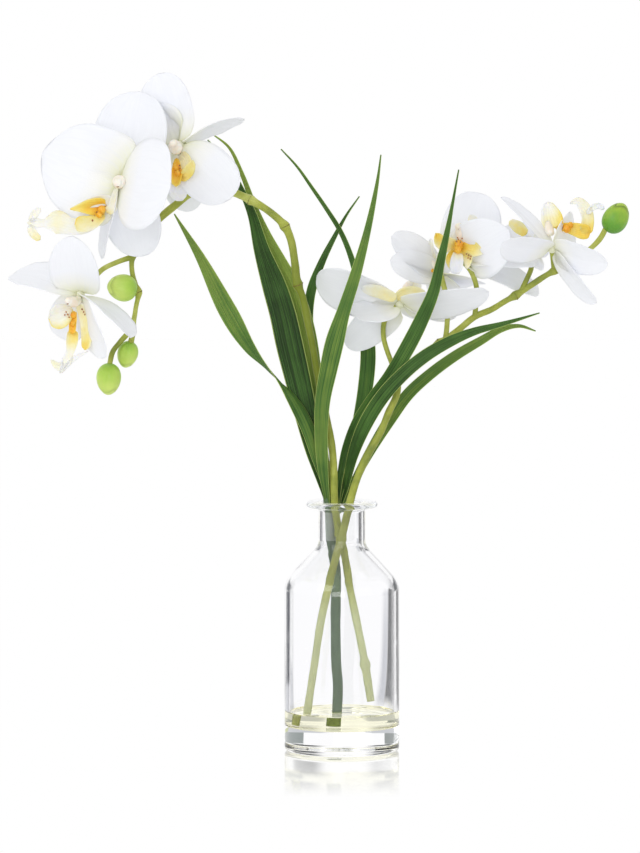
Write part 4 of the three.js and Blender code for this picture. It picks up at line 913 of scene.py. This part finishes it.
# every lip in millimetres from its bloom's hub: across, back and up. Each lobe: points along its middle,
# widths, turns of its face, tones (0 orange, 0.3 yellow, 1 white), cup, and how its two edges change in
# tone
lips = {
    "leftBloom1": {
        "column": [(1.5, -1, -1), (1.2, -4, 0), (0.6, -8, 1), (0, -11, 0.6)],
        "columnRadii": [2.8, 3.6, 4.2, 3],
        "lobes": [
            ([(0.5, -3, -3), (-1, -4, -9), (-4, -5, -15), (-7, -6, -18)], [6, 7, 6.5, 5], [0],
             [0.85, 0.8, 0.78, 0.5], 0.3, (0, 0)),
            ([(-4, -3.5, -10), (-10, -5.5, -10.5), (-17, -7.5, -12), (-24, -8, -14.5)], [5, 7, 6, 2], [0],
             [0.85, 0.8, 0.8, 0.6], 0.3, (0.1, 0)),
            ([(-7.5, -5, -14.6), (-12.4, -7, -14.5), (-18.5, -8.5, -14.5), (-24.6, -9, -15.1),
              (-29.5, -9, -15.7)],
             [9, 11, 9, 4.5, 1], [0, 10], [0.04, 0.08, 0.2, 0.34, 0.38], 0.35, (0.25, 0.12)),
            ([(-8.7, -7, -19.5), (-13.4, -11, -23), (-18.2, -14, -24.7), (-23, -16, -25.2),
              (-26.1, -17, -25.2)],
             [4, 7, 9.5, 10, 7], [10, 20], [0.34, 0.52, 0.62, 0.6, 0.5], 0.5, (-0.2, 0.1)),
            ([(-8.7, -6, -17.7), (-14.2, -8, -22.5), (-22.2, -9, -26.2), (-29.5, -10, -26.1),
              (-37.4, -11, -23.6), (-45.4, -12, -24.2), (-51.5, -12, -24.2), (-55.8, -12, -24.2)],
             [6, 8.5, 10, 10.5, 14.5, 5, 6.5, 1], [0], [0.4, 0.72, 0.88, 0.9, 0.74, 0.9, 0.86, 0.76], 0.3,
             (-0.08, 0)),
            ([(-53.3, -12, -23.6), (-51.5, -12, -19.3), (-47.8, -11, -15)], [3.5, 4.8, 3], [0],
             [0.85, 0.86, 0.9], 0.4, (0, 0)),
            ([(-54, -12, -25.4), (-52.1, -13, -30.3), (-47.7, -14, -34.5)], [3.5, 5.2, 3.5], [0],
             [0.85, 0.7, 0.52], 0.4, (0, 0)),
        ],
        "callus": [((-10, -8.5, -16), 2.4), ((-11.5, -9.5, -19.2), 1.8)],
        "freckles": [((-14.5, -10.6, -19.8), 0.6), ((-15.5, -12.2, -22.6), 0.6), ((-13, -10, -17.6), 0.45)],
    },
    "leftBloom2": {
        "column": [(-0.5, -1, -2), (-1.4, -5, -2.5), (-2, -10, -1.5), (-3, -15.5, 1)],
        "columnRadii": [2.8, 3.5, 4.2, 3],
        "lobes": [
            ([(0.5, -4, -5), (3.5, -9, -10), (4.5, -12, -16), (2.5, -13, -20)], [6, 9, 8, 4], [10],
             [0.7, 0.64, 0.52, 0.42], 0.35, (0, -0.1)),
            ([(-1.4, -7, -8.1), (-1.3, -12.5, -13), (-1.3, -14.5, -17.8), (-1.9, -15.5, -25.4)],
             [2, 5, 7, 4.5], [0], [0.12, 0.02, 0.0, 0.32], 0.5, (0.15, 0.15)),
            ([(-0.1, -11, -19.2), (3, -14, -19.4), (6.2, -16, -15.3), (9, -18, -9.2)],
             [3, 5.5, 7, 3], [0, 15], [0.3, 0.36, 0.46, 0.52], 0.4, (0, 0)),
            ([(-3, -11, -19), (-7, -13.5, -18), (-10, -14, -14), (-12, -14, -9)], [3, 6, 7, 3], [0, -15],
             [0.3, 0.4, 0.5, 0.7], 0.4, (0, 0)),
            ([(-0.7, -9, -16.7), (-0.7, -12, -22.8), (0, -13, -28.9), (2, -13.5, -34)], [5, 9, 12, 5], [0],
             [0.45, 0.85, 0.98, 1.0], 0.35, (0, 0)),
        ],
        "callus": [((-1.6, -13.5, -13.5), 2), ((-0.6, -14.5, -17), 1.9)],
        "freckles": [((0.6, -14.8, -12.4), 0.5), ((0.9, -15.3, -14.2), 0.5), ((0.4, -15.4, -15.6), 0.4)],
    },
    "leftBloom3": {
        "column": [(-1, -1, -3), (-2.5, -4, -4.5), (-5, -8, -4.2), (-7, -10.5, -3.4)],
        "columnRadii": [2.4, 3, 3.3, 2.4],
        "lobes": [
            ([(-5, -5, -8.5), (-8.5, -9, -10.6), (-13.3, -12, -13.2), (-19, -14, -13.9)],
             [5, 11, 15.5, 9], [0], [0.8, 0.84, 0.84, 0.84], 0.35, (0.05, -0.42)),
            ([(-1.4, -3, -5.3), (1.8, -5, -10.7), (3.7, -7, -16.8), (4.3, -8, -25.4), (3.1, -9, -34)],
             [4, 6.5, 7.5, 7, 4.5], [0], [0.66, 0.6, 0.58, 0.5, 0.3], 0.5, (0.05, 0.2)),
            ([(-3.8, -6, -10), (-4.3, -9, -16.7), (-4.8, -11, -24)], [3.5, 4.5, 4], [0], [0.2, 0.08, 0.1],
             0.4, (0.1, 0.1)),
            ([(-4.3, -8, -21.7), (-4.9, -10, -29), (-6.1, -11, -35.1), (-8.5, -12, -41.2),
              (-11.6, -12, -46.8)],
             [6.5, 7, 5, 6, 2], [0], [0.34, 0.5, 0.76, 0.86, 0.86], 0.4, (0.1, 0)),
            ([(-9.8, -12, -43.7), (-13.5, -12, -43.7), (-17.8, -12, -40)], [6, 5, 1.5], [0],
             [0.85, 0.8, 0.76], 0.3, (0, 0)),
            ([(-12.3, -12, -48), (-7.3, -12, -42.5), (-1.1, -12, -37.5), (5.1, -12, -34.4)],
             [2.5, 3, 2.5, 1], [0], [0.86, 0.88, 0.9, 0.94], 0.3, (0, 0)),
        ],
        "callus": [((-4, -8.5, -12.6), 1.9), ((-4.4, -10.2, -17.5), 1.6)],
        "freckles": [((-8.4, -10.2, -10.4), 0.5), ((-7.4, -10, -12), 0.55), ((-9.2, -10.8, -12.2), 0.5),
                     ((-6.6, -9.6, -13.8), 0.5), ((1.2, -6, -9), 0.55), ((2.2, -6.4, -10.6), 0.5),
                     ((3, -7, -12.2), 0.45)],
    },
    "rightBloom1": {
        "column": [(1, 4, 3), (3, 8, 7), (5, 11, 11), (7, 13.5, 13)], "columnRadii": [1.8, 2.2, 2.6, 1.8],
        "lobes": [
            ([(-1.5, 1, 2.5), (3, 0, 5.2), (9, 0, 6.2), (16, 1, 4.8)], [7, 11, 10.5, 7], [0],
             [0.52, 0.56, 0.6, 0.62], 0.35, (-0.06, 0.04)),
            ([(-2, -6, 4), (-9, -7, 7), (-17, -7.5, 9.6), (-24, -7, 11)], [6, 9, 9, 4], [-30],
             [0.52, 0.6, 0.7, 0.9], 0.1, (0.1, 0)),
            ([(1, 5, 2), (7, 11, 7), (11, 20, 12), (12, 29, 13.5)], [4, 7, 8, 2], [20], [0.3, 0.5, 0.8, 0.95],
             0.4, (0, 0)),
        ],
        "callus": [((4.5, 2.6, 1.4), 1.3), ((7, 3.6, 2.6), 1)],
        "freckles": [],
    },
    "rightBloom2": {
        "column": [(-2, -2, 3), (-4, -4, 6), (-6, -5, 8.5)], "columnRadii": [1.6, 2, 1.5],
        "lobes": [
            ([(-1, -2, 0), (-6, -3.5, -1.5), (-13, -4.5, -1)], [4, 8.5, 4], [0],
             [0.5, 0.6, 0.8], 0.4, (0, 0)),
            ([(-3, -3, 9), (-5.5, -4.5, 16), (-5.5, -5, 22)], [2.5, 3.8, 2], [0],
             [0.7, 0.85, 0.95], 0.5, (0, 0)),
        ],
        "callus": [((-5, -4.5, 2), 1.4)],
        "freckles": [],
    },
    "rightBloom3": {
        "column": [(-1, -3, 10), (-1.3, -6, 15), (-2, -9, 19), (-2.6, -11.5, 20.5)],
        "columnRadii": [2.6, 3, 3.4, 2.4],
        "lobes": [
            ([(2, -5, 9), (5.5, -7, 16), (6.5, -8.5, 23), (4.5, -9, 27.5)], [5, 8.5, 7.5, 3], [0],
             [0.5, 0.7, 0.78, 0.84], 0.35, (0.05, -0.1)),
            ([(-3.4, -6, 7.3), (-8.5, -9, 8.7), (-13.5, -11, 10.7), (-17, -12.5, 16)],
             [6, 9.5, 9, 3.5], [0, 15], [0.3, 0.5, 0.42, 0.2], 0.45, (0.1, 0.2)),
            ([(-1.6, -6, 7.9), (2.7, -9, 7.5), (7.6, -11, 5.7), (13, -12, 3.9)], [8, 11.5, 9, 2.5], [0],
             [0.16, 0.3, 0.44, 0.66], 0.4, (0.1, 0)),
            ([(-5, -8, 5), (-8, -11, 0), (-7.5, -12, -6)], [4, 5, 2], [0], [0.25, 0.34, 0.62], 0.4, (0, 0)),
            ([(-1, -8, 5), (3, -11, 1), (2.6, -12, -6)], [4, 6, 2], [0], [0.25, 0.5, 0.72], 0.4, (0, 0)),
            ([(-2.9, -10, 4.4), (-3.6, -13, -0.4), (-4.3, -14, -4.9), (-4.9, -13, -9)],
             [5, 7.8, 7.8, 4.5], [0], [0.6, 0.92, 1.0, 1.0], 0.5, (0, 0)),
        ],
        "callus": [((-2.3, -9, 9), 2.7), ((-3, -11.5, 5.8), 2.3)],
        "freckles": [((-3.8, -10.6, 11), 0.55), ((-1.4, -10.9, 10.6), 0.5), ((-2.6, -11.2, 12.2), 0.5),
                     ((-0.4, -10.2, 12.8), 0.5), ((-3.2, -10.2, 13.2), 0.45), ((2.2, -12.4, 3.2), 0.5),
                     ((3.6, -12.4, 2.4), 0.55), ((5, -12.4, 1.8), 0.5), ((3.2, -12.6, 0.8), 0.5),
                     ((4.6, -12.6, 0.2), 0.5)],
    },
    "rightBloom4": {
        "column": [(-0.6, 4, 9), (-2, 7, 13), (-2.9, 9.5, 16)], "columnRadii": [2.2, 2.8, 2.2],
        "lobes": [
            ([(1.5, 6, 13), (0, 8, 18.6), (-1.4, 9, 23.6), (-2.6, 10, 28.9)], [12, 13.5, 10.5, 4.5], [0],
             [0.45, 0.62, 0.84, 0.92], 0.3, (-0.3, 0.1)),
            ([(2, 8, 13), (8, 8.5, 13.2), (14, 9, 12), (20, 9, 10.4), (24, 9, 10)], [4, 5.5, 8, 9.5, 7], [0],
             [0.4, 0.24, 0.34, 0.3, 0.24], 0.35, (0, 0)),
            ([(21, 9.5, 9), (22.6, 9.5, 18.4), (20.6, 9.5, 25), (16.4, 9.5, 29.4), (11.6, 9.5, 28)],
             [8.5, 7.5, 7.5, 5, 1.5], [0], [0.24, 0.58, 0.78, 0.84, 0.9], 0.3, (-0.08, 0.1)),
            ([(22, 9, 21.4), (25.1, 9, 25.2), (28.9, 9, 26.6), (32.6, 9, 24.6)], [3, 3.5, 3.6, 2.8], [0],
             [0.84, 0.92, 1.0, 1.0], 0.5, (0, 0)),
        ],
        "callus": [((9.4, 7, 12.4), 2.6), ((11.6, 7.4, 14.6), 1.9)],
        "freckles": [],
    },
}


def addLobe(build, hub, lobe, slot):
    points, widths, turns, tones, cup, edges = lobe
    points = [hub + Vector(p) for p in points]
    length = sum((b - a).length for a, b in zip(points, points[1:]))
    high, wide = max(10, round(length / lipSpec["step"])), lipSpec["columns"]
    rows, marks = [], []
    for i in range(high + 1):
        t = i / high
        centre = alongCurve(points, t)
        along = (alongCurve(points, min(t + 0.01, 1)) - alongCurve(points, max(t - 0.01, 0))).normalized()
        side, facing = turnedSides(along, turns[0] + (turns[-1] - turns[0]) * t)
        ends = min(1, math.sqrt(max(1 - (2 * t - 1) ** 8, 0)) + 0.15)  # rounds both ends
        half = max(alongValues(widths, t) / 2 * ends, lipSpec["leastHalf"])
        tone = alongValues(tones, t)
        row, rowMarks = [], []
        for j in range(wide + 1):  # frills of 4.5 mm at the edges, and slower waves of 10 mm
            s = 2 * j / wide - 1  # from one edge to the other, -1 to 1
            point = centre + side * (half * s) + facing * (cup * half * (s * s - 0.4))
            ruffle = noise.noise(point * 0.22) * 0.9 * abs(s) + noise.noise(point * 0.1) * 0.6
            row.append(point + facing * ruffle)
            edge = edges[1] if s > 0 else edges[0]
            rowMarks.append((j / wide, min(max(tone + edge * s * s, 0), 1)))
        rows.append(row)
        marks.append(rowMarks)
    addSheet(build, rows, marks, lambda across, tone: bladeThickness(lipSpec, across), slot)


def addLip(name, spec, node, hub):
    build = newBuild()
    column = [hub + Vector(p) for p in spec["column"]]
    radii = spec["columnRadii"]
    addTube(build, column, lambda run, total, centre: alongValues(radii, run / total), slot=1,
            step=0.7, sides=18, endPush=1.2)
    way = (column[-1] - column[-2]).normalized()
    across = way.orthogonal().normalized()
    cap = column[-1] + way * lipSpec["capPush"]
    capRadii = [radii[-1] * share for share in lipSpec["capShape"]]
    addBall(build, cap, capRadii, 1, (across, way.cross(across), way))
    addBall(build, cap - Vector((0, 0, capRadii[2])), (0.9, 0.9, 0.7), 3)  # painted shade: a small freckle-brown ball stands for the shaded hollow under the cap
    for lobe in spec["lobes"]:
        addLobe(build, hub, lobe, 0)
    for place, radius in spec["callus"]:
        addBall(build, hub + Vector(place), (radius, radius * 0.8, radius * 1.1), 2)
    for place, radius in spec["freckles"]:
        addBall(build, hub + Vector(place), (radius, radius * 0.7, radius * 1.2), 3, rings=5, sides=8)
    addPiece(name + "Lip", build, [lipSkin, columnSkin, callusSkin, freckleSkin], [node + "_lip"])


for name, spec in blooms.items():
    addTepals(name, spec)
    if name in lips:
        addLip(name, lips[name], spec["node"], Vector(spec["hub"]))
print("blooms made")


# buds: closed sepals with three shallow seams, yellow-green and darker where they join the stalk
budSpec = {
    "skin": ("#86B63A", "#AED150", "#D0E476"), "ripeSkin": ("#4F8A18", "#64A02C", "#A4C23A"),
    "seamDepth": 0.07, "rootBulge": 0.12, "rings": 40, "sides": 42,
    # the last mark places the painted shadow line at the outer sepals' edge
    "lapFrom": 0.7, "lapReach": 0.12, "lapRise": 0.045, "lapSoft": 0.03, "lapShadowMark": 0.77,
    "usualThick": 16, "ribPitch": 2.1,
}
buds = {
    "leftBud1": {"node": "left_bud_1", "middle": (-137, -3, 291), "along": (-1, -0.25, 0.15),
                 "size": (19, 17)},
    "leftBud2": {"node": "left_bud_2", "middle": (-134, 3, 249), "along": (-0.25, 0, -1), "size": (17, 13)},
    "leftBud3": {"node": "left_bud_3", "middle": (-145.5, -3, 234), "along": (-0.05, 0, -1),
                 "size": (20, 15.5)},
    "rightBud1": {"node": "right_bud_1", "middle": (171, 8, 334), "along": (0.5, 0, 0.85), "size": (20.5, 16),
                  "ripe": True},
}


def budTissue(name, tones, lapShade):  # bud skin: waxy young tissue with faint lengthwise veins and a painted shadow line where the outer sepals end
    material, tree, surface = newMaterial(name, livingFinish(0.4, 0.2, (0.002, 0.003, 0.0008)))
    place = addNode(tree, "ShaderNodeUVMap", {"uv_map": "bladeMap"})
    parts = addNode(tree, "ShaderNodeSeparateXYZ", inputs={"Vector": place.outputs[0]})
    coords = addNode(tree, "ShaderNodeTexCoord")
    cloud = addNode(tree, "ShaderNodeTexNoise", inputs={  # patches about 9 mm across
        "Vector": coords.outputs["Object"], "Scale": 110, "Detail": 3})
    reach = addNode(tree, "ShaderNodeMath", {"operation": "MULTIPLY_ADD"}, {
        0: cloud.outputs[0], 1: 0.5, 2: parts.outputs[1]})
    tone = addNode(tree, "ShaderNodeValToRGB", {"stops": list(zip((0.25, 0.6, 1), tones))},
                   {"Fac": reach.outputs[0]})
    lap = addNode(tree, "ShaderNodeValToRGB", {  # painted shadow: a dark line where the outer sepals end
        "stops": [(0.68, "#FFFFFF"), (0.765, "#A9B58C"), (0.785, "#7E8C5E"), (0.8, "#FFFFFF")]},
        {"Fac": parts.outputs[1]})
    lapShadowed = addNode(tree, "ShaderNodeMix", {**colourMix, "blend_type": "MULTIPLY"}, {
        "Factor": lapShade, "A": tone.outputs[0], "B": lap.outputs[0]})
    tree.links.new(lapShadowed.outputs["Result"], surface.inputs["Base Color"])
    ribCount = round(math.pi * budSpec["usualThick"] / budSpec["ribPitch"])
    spread = addNode(tree, "ShaderNodeMath", {"operation": "MULTIPLY"}, {
        0: parts.outputs[0], 1: 2 * math.pi * ribCount})
    ribs = addNode(tree, "ShaderNodeMath", {"operation": "SINE"}, {0: spread.outputs[0]})
    bump = addNode(tree, "ShaderNodeBump", inputs={"Height": ribs.outputs[0], "Strength": 0.15,
                                                   "Distance": 0.0003})
    tree.links.new(bump.outputs[0], surface.inputs["Normal"])
    return material


budSkin = budTissue("budSkin", budSpec["skin"], 0.35)
ripeSkin = budTissue("ripeBudSkin", budSpec["ripeSkin"], 0.85)


def addBud(name, spec):
    along = Vector(spec["along"]).normalized()
    side, facing = turnedSides(along)
    length, thick = spec["size"]
    centre = Vector(spec["middle"])
    high, around = budSpec["rings"], budSpec["sides"]
    build = newBuild()
    rows, marks = [], []
    for i in range(1, high):
        t, angle = i / high, math.pi * i / high
        fat = math.sin(angle) * (1 + budSpec["rootBulge"] * math.cos(angle))
        row, rowMarks = [], []
        for j in range(around):
            turn = 2 * math.pi * j / around
            lobe = abs(math.cos(1.5 * turn + 0.4))
            # the outer three sepals end short of the tip
            lapEnd = budSpec["lapFrom"] + budSpec["lapReach"] * lobe
            lap = budSpec["lapRise"] * (1 - smooth(lapEnd, lapEnd + budSpec["lapSoft"], t))
            radius = thick / 2 * fat * (1 - budSpec["lapRise"] + lap - budSpec["seamDepth"] * lobe ** 14)
            row.append(centre + (side * math.cos(turn) + facing * math.sin(turn)) * radius
                       - along * (length / 2 * math.cos(angle)))
            # the marks put the painted shadow line on the outer sepals' edge
            rowMarks.append((j / around, t + budSpec["lapShadowMark"] - lapEnd))
        rows.append(row)
        marks.append(rowMarks)
    start = addGrid(build, rows, marks, wrap=True)
    closeEnd(build, list(range(start, start + around)), centre - along * length / 2, (0, 0), flip=True)
    last = [start + (high - 2) * around + j for j in range(around)]
    closeEnd(build, last, centre + along * length / 2, (0, 1))
    addPiece(name, build, [ripeSkin if spec.get("ripe") else budSkin], [spec["node"]])


for name, spec in buds.items():
    addBud(name, spec)
print("buds made")


# studio: white glossy table, white surroundings, three soft boxes, and grey cards that glow with painted
# shade, seen only through the glass, where they draw its edges
studioSpec = {
    "floorSize": 8, "tableDrop": 0.2, "tableWhite": 0.86, "tableRough": 0.06,
    # the reflection fades out towards the camera (m)
    "mirrorShare": 0.6, "mirrorFrom": -0.185, "mirrorTo": -0.06,
    "skyBack": 0.9, "skyFront": 0.7, "cardHeight": 0.6, "cardStep": 0.04, "aim": (0, 0, 0.25), "bounces": 48,
}
softBoxes = {
    "keyBox": {"place": (-1.2, -1.6, 1.5), "size": 1.2, "power": 8.8},
    "fillBox": {"place": (1.4, -1.5, 0.7), "size": 1.4, "power": 1},
    "frontBox": {"place": (-0.3, -2.3, 0.4), "size": 1.0, "power": 9.3},
}
# each card lies on the table behind the vase, or stands there if it has a rise: its corner (mm), from and
# to in degrees from straight back, near and far in metres, and the shares of its width, near and far end
# that fade out
greyCards = {
    "cardRight": {"corner": (0, 0), "angles": (10.5, 33), "reach": (0.27, 1.3), "shade": "#0A0E14",
                  "soft": (0.08, 0.1, 0.1)},
    "cardRightSide": {"corner": (0, 0), "angles": (7, 13), "reach": (0.24, 1.2), "shade": "#C2C4CA",
                      "soft": (0.4, 0.1, 0.7)},
    "cardRightNear": {"corner": (0, 0), "angles": (4, 50), "reach": (0.12, 0.28), "shade": "#C6C8CC",
                      "soft": (0.12, 0.02, 0.3)},
    "cardLeft": {"corner": (0, 0), "angles": (-46, -22.5), "reach": (0.42, 1.3), "shade": "#333845",
                 "soft": (0.1, 0.08, 0.1)},
    "cardLeftSide": {"corner": (0, 0), "angles": (-45, -16), "reach": (0.25, 0.6), "shade": "#C4C6CC",
                     "soft": (0.1, 0.06, 0.3)},
    "cardLeftNear": {"corner": (0, 0), "angles": (-45, -8), "reach": (0.12, 0.27), "shade": "#C6C8CC",
                     "soft": (0.1, 0.04, 0.3)},
    "cardBaseRight": {"corner": (-6.8, 35.4), "angles": (30.4, 96), "reach": (0.026, 0.115),
                      "shade": "#8C9492", "soft": (0.01, 0, 0.01)},
    "cardBaseLeft": {"corner": (7.1, 35.3), "angles": (-96, -36), "reach": (0.026, 0.115), "shade": "#8A908E",
                     "soft": (0.01, 0, 0.01)},
    "cardLiquidDark": {"corner": (-9, 34.9), "angles": (26.9, 42.5), "reach": (0.116, 0.15),
                       "shade": "#2E3744", "soft": (0.04, 0, 0.1)},
    # this card glows yellow-green: painted light for the liquid's edge
    "cardLiquidGreen": {"corner": (-9, 34.9), "angles": (43, 96), "reach": (0.116, 0.15), "shade": "#B4BE50",
                        "soft": (0.01, 0, 0.1)},
    "wallRight": {"corner": (0, 0), "angles": (9, 52), "reach": (1.5, 1.5), "rise": 0.4, "shade": "#20262E",
                  "soft": (0.3, 0, 0.3)},
    "wallLeft": {"corner": (0, 0), "angles": (-56, -14), "reach": (1.5, 1.5), "rise": 0.36,
                 "shade": "#3A4048", "soft": (0.3, 0, 0.3)},
}


def addStageMesh(name, points, faces, marks, material):
    mesh = bpy.data.meshes.new(name)
    mesh.from_pydata([p * mm for p in points], [], faces)
    mesh.materials.append(material)
    places = mesh.uv_layers.new(name="bladeMap")
    for loop in mesh.loops:
        places.data[loop.index].uv = marks[loop.vertex_index]
    item = bpy.data.objects.new(name, mesh)
    bpy.context.scene.collection.objects.link(item)
    return item


def addCard(name, spec, height):
    cardGlow = bpy.data.materials.new(name + "Glow")
    tree = emptyTree(cardGlow)
    place = addNode(tree, "ShaderNodeUVMap", {"uv_map": "bladeMap"})
    parts = addNode(tree, "ShaderNodeSeparateXYZ", inputs={"Vector": place.outputs[0]})
    away = addNode(tree, "ShaderNodeMath", {"operation": "SUBTRACT"}, {0: parts.outputs[0], 1: 0.5})
    size = addNode(tree, "ShaderNodeMath", {"operation": "ABSOLUTE"}, {0: away.outputs[0]})
    across, near, far = [max(share, 0.001) for share in spec["soft"]]
    mask = addNode(tree, "ShaderNodeMapRange", softStep, {
        "Value": size.outputs[0], "From Min": 0.5 - across, "From Max": 0.5, "To Min": 1, "To Max": 0})
    for low, high, start, end in ((0, near, 0, 1), (1 - far, 1, 1, 0)):
        fade = addNode(tree, "ShaderNodeMapRange", softStep, {
            "Value": parts.outputs[1], "From Min": low, "From Max": high, "To Min": start, "To Max": end})
        mask = addNode(tree, "ShaderNodeMath", {"operation": "MULTIPLY"},
                       {0: mask.outputs[0], 1: fade.outputs[0]})
    # painted shade: the card glows its own grey, lit by nothing, and is seen only through the glass
    grey = addNode(tree, "ShaderNodeEmission", inputs={"Color": fromHex(spec["shade"])})
    clear = addNode(tree, "ShaderNodeBsdfTransparent")
    both = addNode(tree, "ShaderNodeMixShader", inputs={
        "Fac": mask.outputs[0], 1: clear.outputs[0], 2: grey.outputs[0]})
    addNode(tree, "ShaderNodeOutputMaterial", inputs={"Surface": both.outputs[0]})
    points, faces, marks = [], [], []
    steps, (first, last) = 12, spec["angles"]
    for i in range(steps + 1):
        angle = math.radians(first + (last - first) * i / steps)
        for k, reach in enumerate(spec["reach"]):  # metres to millimetres
            points.append(Vector((*spec["corner"], height)) + Vector((
                math.sin(angle) * reach, math.cos(angle) * reach, k * spec.get("rise", 0))) * 1000)
            marks.append((i / steps, k))
        if i:
            faces.append((2 * i - 2, 2 * i - 1, 2 * i + 1, 2 * i))
    card = addStageMesh(name, points, faces, marks, cardGlow)
    card.visible_camera = card.visible_diffuse = card.visible_glossy = card.visible_shadow = False


def addTable():
    acrylic = bpy.data.materials.new("whiteAcrylicTable")
    tree = emptyTree(acrylic)
    ray = addNode(tree, "ShaderNodeLightPath")
    coords = addNode(tree, "ShaderNodeTexCoord")
    spot = addNode(tree, "ShaderNodeSeparateXYZ", inputs={"Vector": coords.outputs["Object"]})
    fade = addNode(tree, "ShaderNodeMapRange", inputs={
        "Value": spot.outputs[1], "From Min": studioSpec["mirrorFrom"], "From Max": studioSpec["mirrorTo"],
        "To Min": 0, "To Max": studioSpec["mirrorShare"]})
    mirror = addNode(tree, "ShaderNodeBsdfGlossy", inputs={
        "Color": (1, 1, 1, 1), "Roughness": studioSpec["tableRough"]})
    glow = addNode(tree, "ShaderNodeEmission", inputs={"Strength": 1.0})
    seen = addNode(tree, "ShaderNodeMixShader", inputs={
        "Fac": fade.outputs[0], 1: glow.outputs[0], 2: mirror.outputs[0]})
    white = studioSpec["tableWhite"]
    matte = addNode(tree, "ShaderNodeEmission", inputs={"Color": (white, white, white, 1)})
    through = addNode(tree, "ShaderNodeMixShader", inputs={
        "Fac": ray.outputs["Is Transmission Ray"], 1: matte.outputs[0], 2: glow.outputs[0]})
    both = addNode(tree, "ShaderNodeMixShader", inputs={
        "Fac": ray.outputs["Is Camera Ray"], 1: through.outputs[0], 2: seen.outputs[0]})
    addNode(tree, "ShaderNodeOutputMaterial", inputs={"Surface": both.outputs[0]})
    half = studioSpec["floorSize"] * 500  # half of its metres, in millimetres
    marks = [(0, 0), (1, 0), (1, 1), (0, 1)]
    corners = [Vector((half * (2 * u - 1), half * (2 * v - 1), -studioSpec["tableDrop"])) for u, v in marks]
    addStageMesh("whiteTable", corners, [(0, 1, 2, 3)], marks, acrylic)


def addSky():  # white all round, but what it sheds on the pieces is a little weaker from the front
    world = bpy.data.worlds.new("whiteStudio")
    bpy.context.scene.world = world
    sky = emptyTree(world)
    coords = addNode(sky, "ShaderNodeTexCoord")
    way = addNode(sky, "ShaderNodeSeparateXYZ", inputs={"Vector": coords.outputs["Generated"]})
    level = addNode(sky, "ShaderNodeMapRange", softStep, {
        "Value": way.outputs[1], "From Min": -0.6, "From Max": 0.6, "To Min": studioSpec["skyFront"],
        "To Max": studioSpec["skyBack"]})
    light = addNode(sky, "ShaderNodeBackground", inputs={"Strength": level.outputs[0], "Color": (1, 1, 1, 1)})
    seen = addNode(sky, "ShaderNodeBackground", inputs={"Strength": 1.0, "Color": (1, 1, 1, 1)})
    ray = addNode(sky, "ShaderNodeLightPath")
    both = addNode(sky, "ShaderNodeMixShader", inputs={
        "Fac": ray.outputs["Is Diffuse Ray"], 1: seen.outputs[0], 2: light.outputs[0]})
    addNode(sky, "ShaderNodeOutputWorld", inputs={"Surface": both.outputs[0]})


def addSoftBox(name, spec):
    data = bpy.data.lights.new(name, "AREA")
    data.energy = spec["power"]
    data.size = spec["size"]
    lamp = bpy.data.objects.new(name, data)
    lamp.location = spec["place"]
    lampAim = Vector(studioSpec["aim"]) - Vector(spec["place"])
    lamp.rotation_euler = lampAim.to_track_quat("-Z", "Y").to_euler()
    bpy.context.scene.collection.objects.link(lamp)


addTable()
# each a little lower than the last, so that none share a plane
for i, (name, spec) in enumerate(greyCards.items()):
    addCard(name, spec, studioSpec["cardHeight"] - studioSpec["cardStep"] * i)
addSky()
for name, spec in softBoxes.items():
    addSoftBox(name, spec)
bpy.context.scene.view_settings.view_transform = "Standard"
# enough for light to leave the vase again
for kind in ("max_bounces", "transmission_bounces", "glossy_bounces"):
    setattr(bpy.context.scene.cycles, kind, studioSpec["bounces"])
print("studio made")
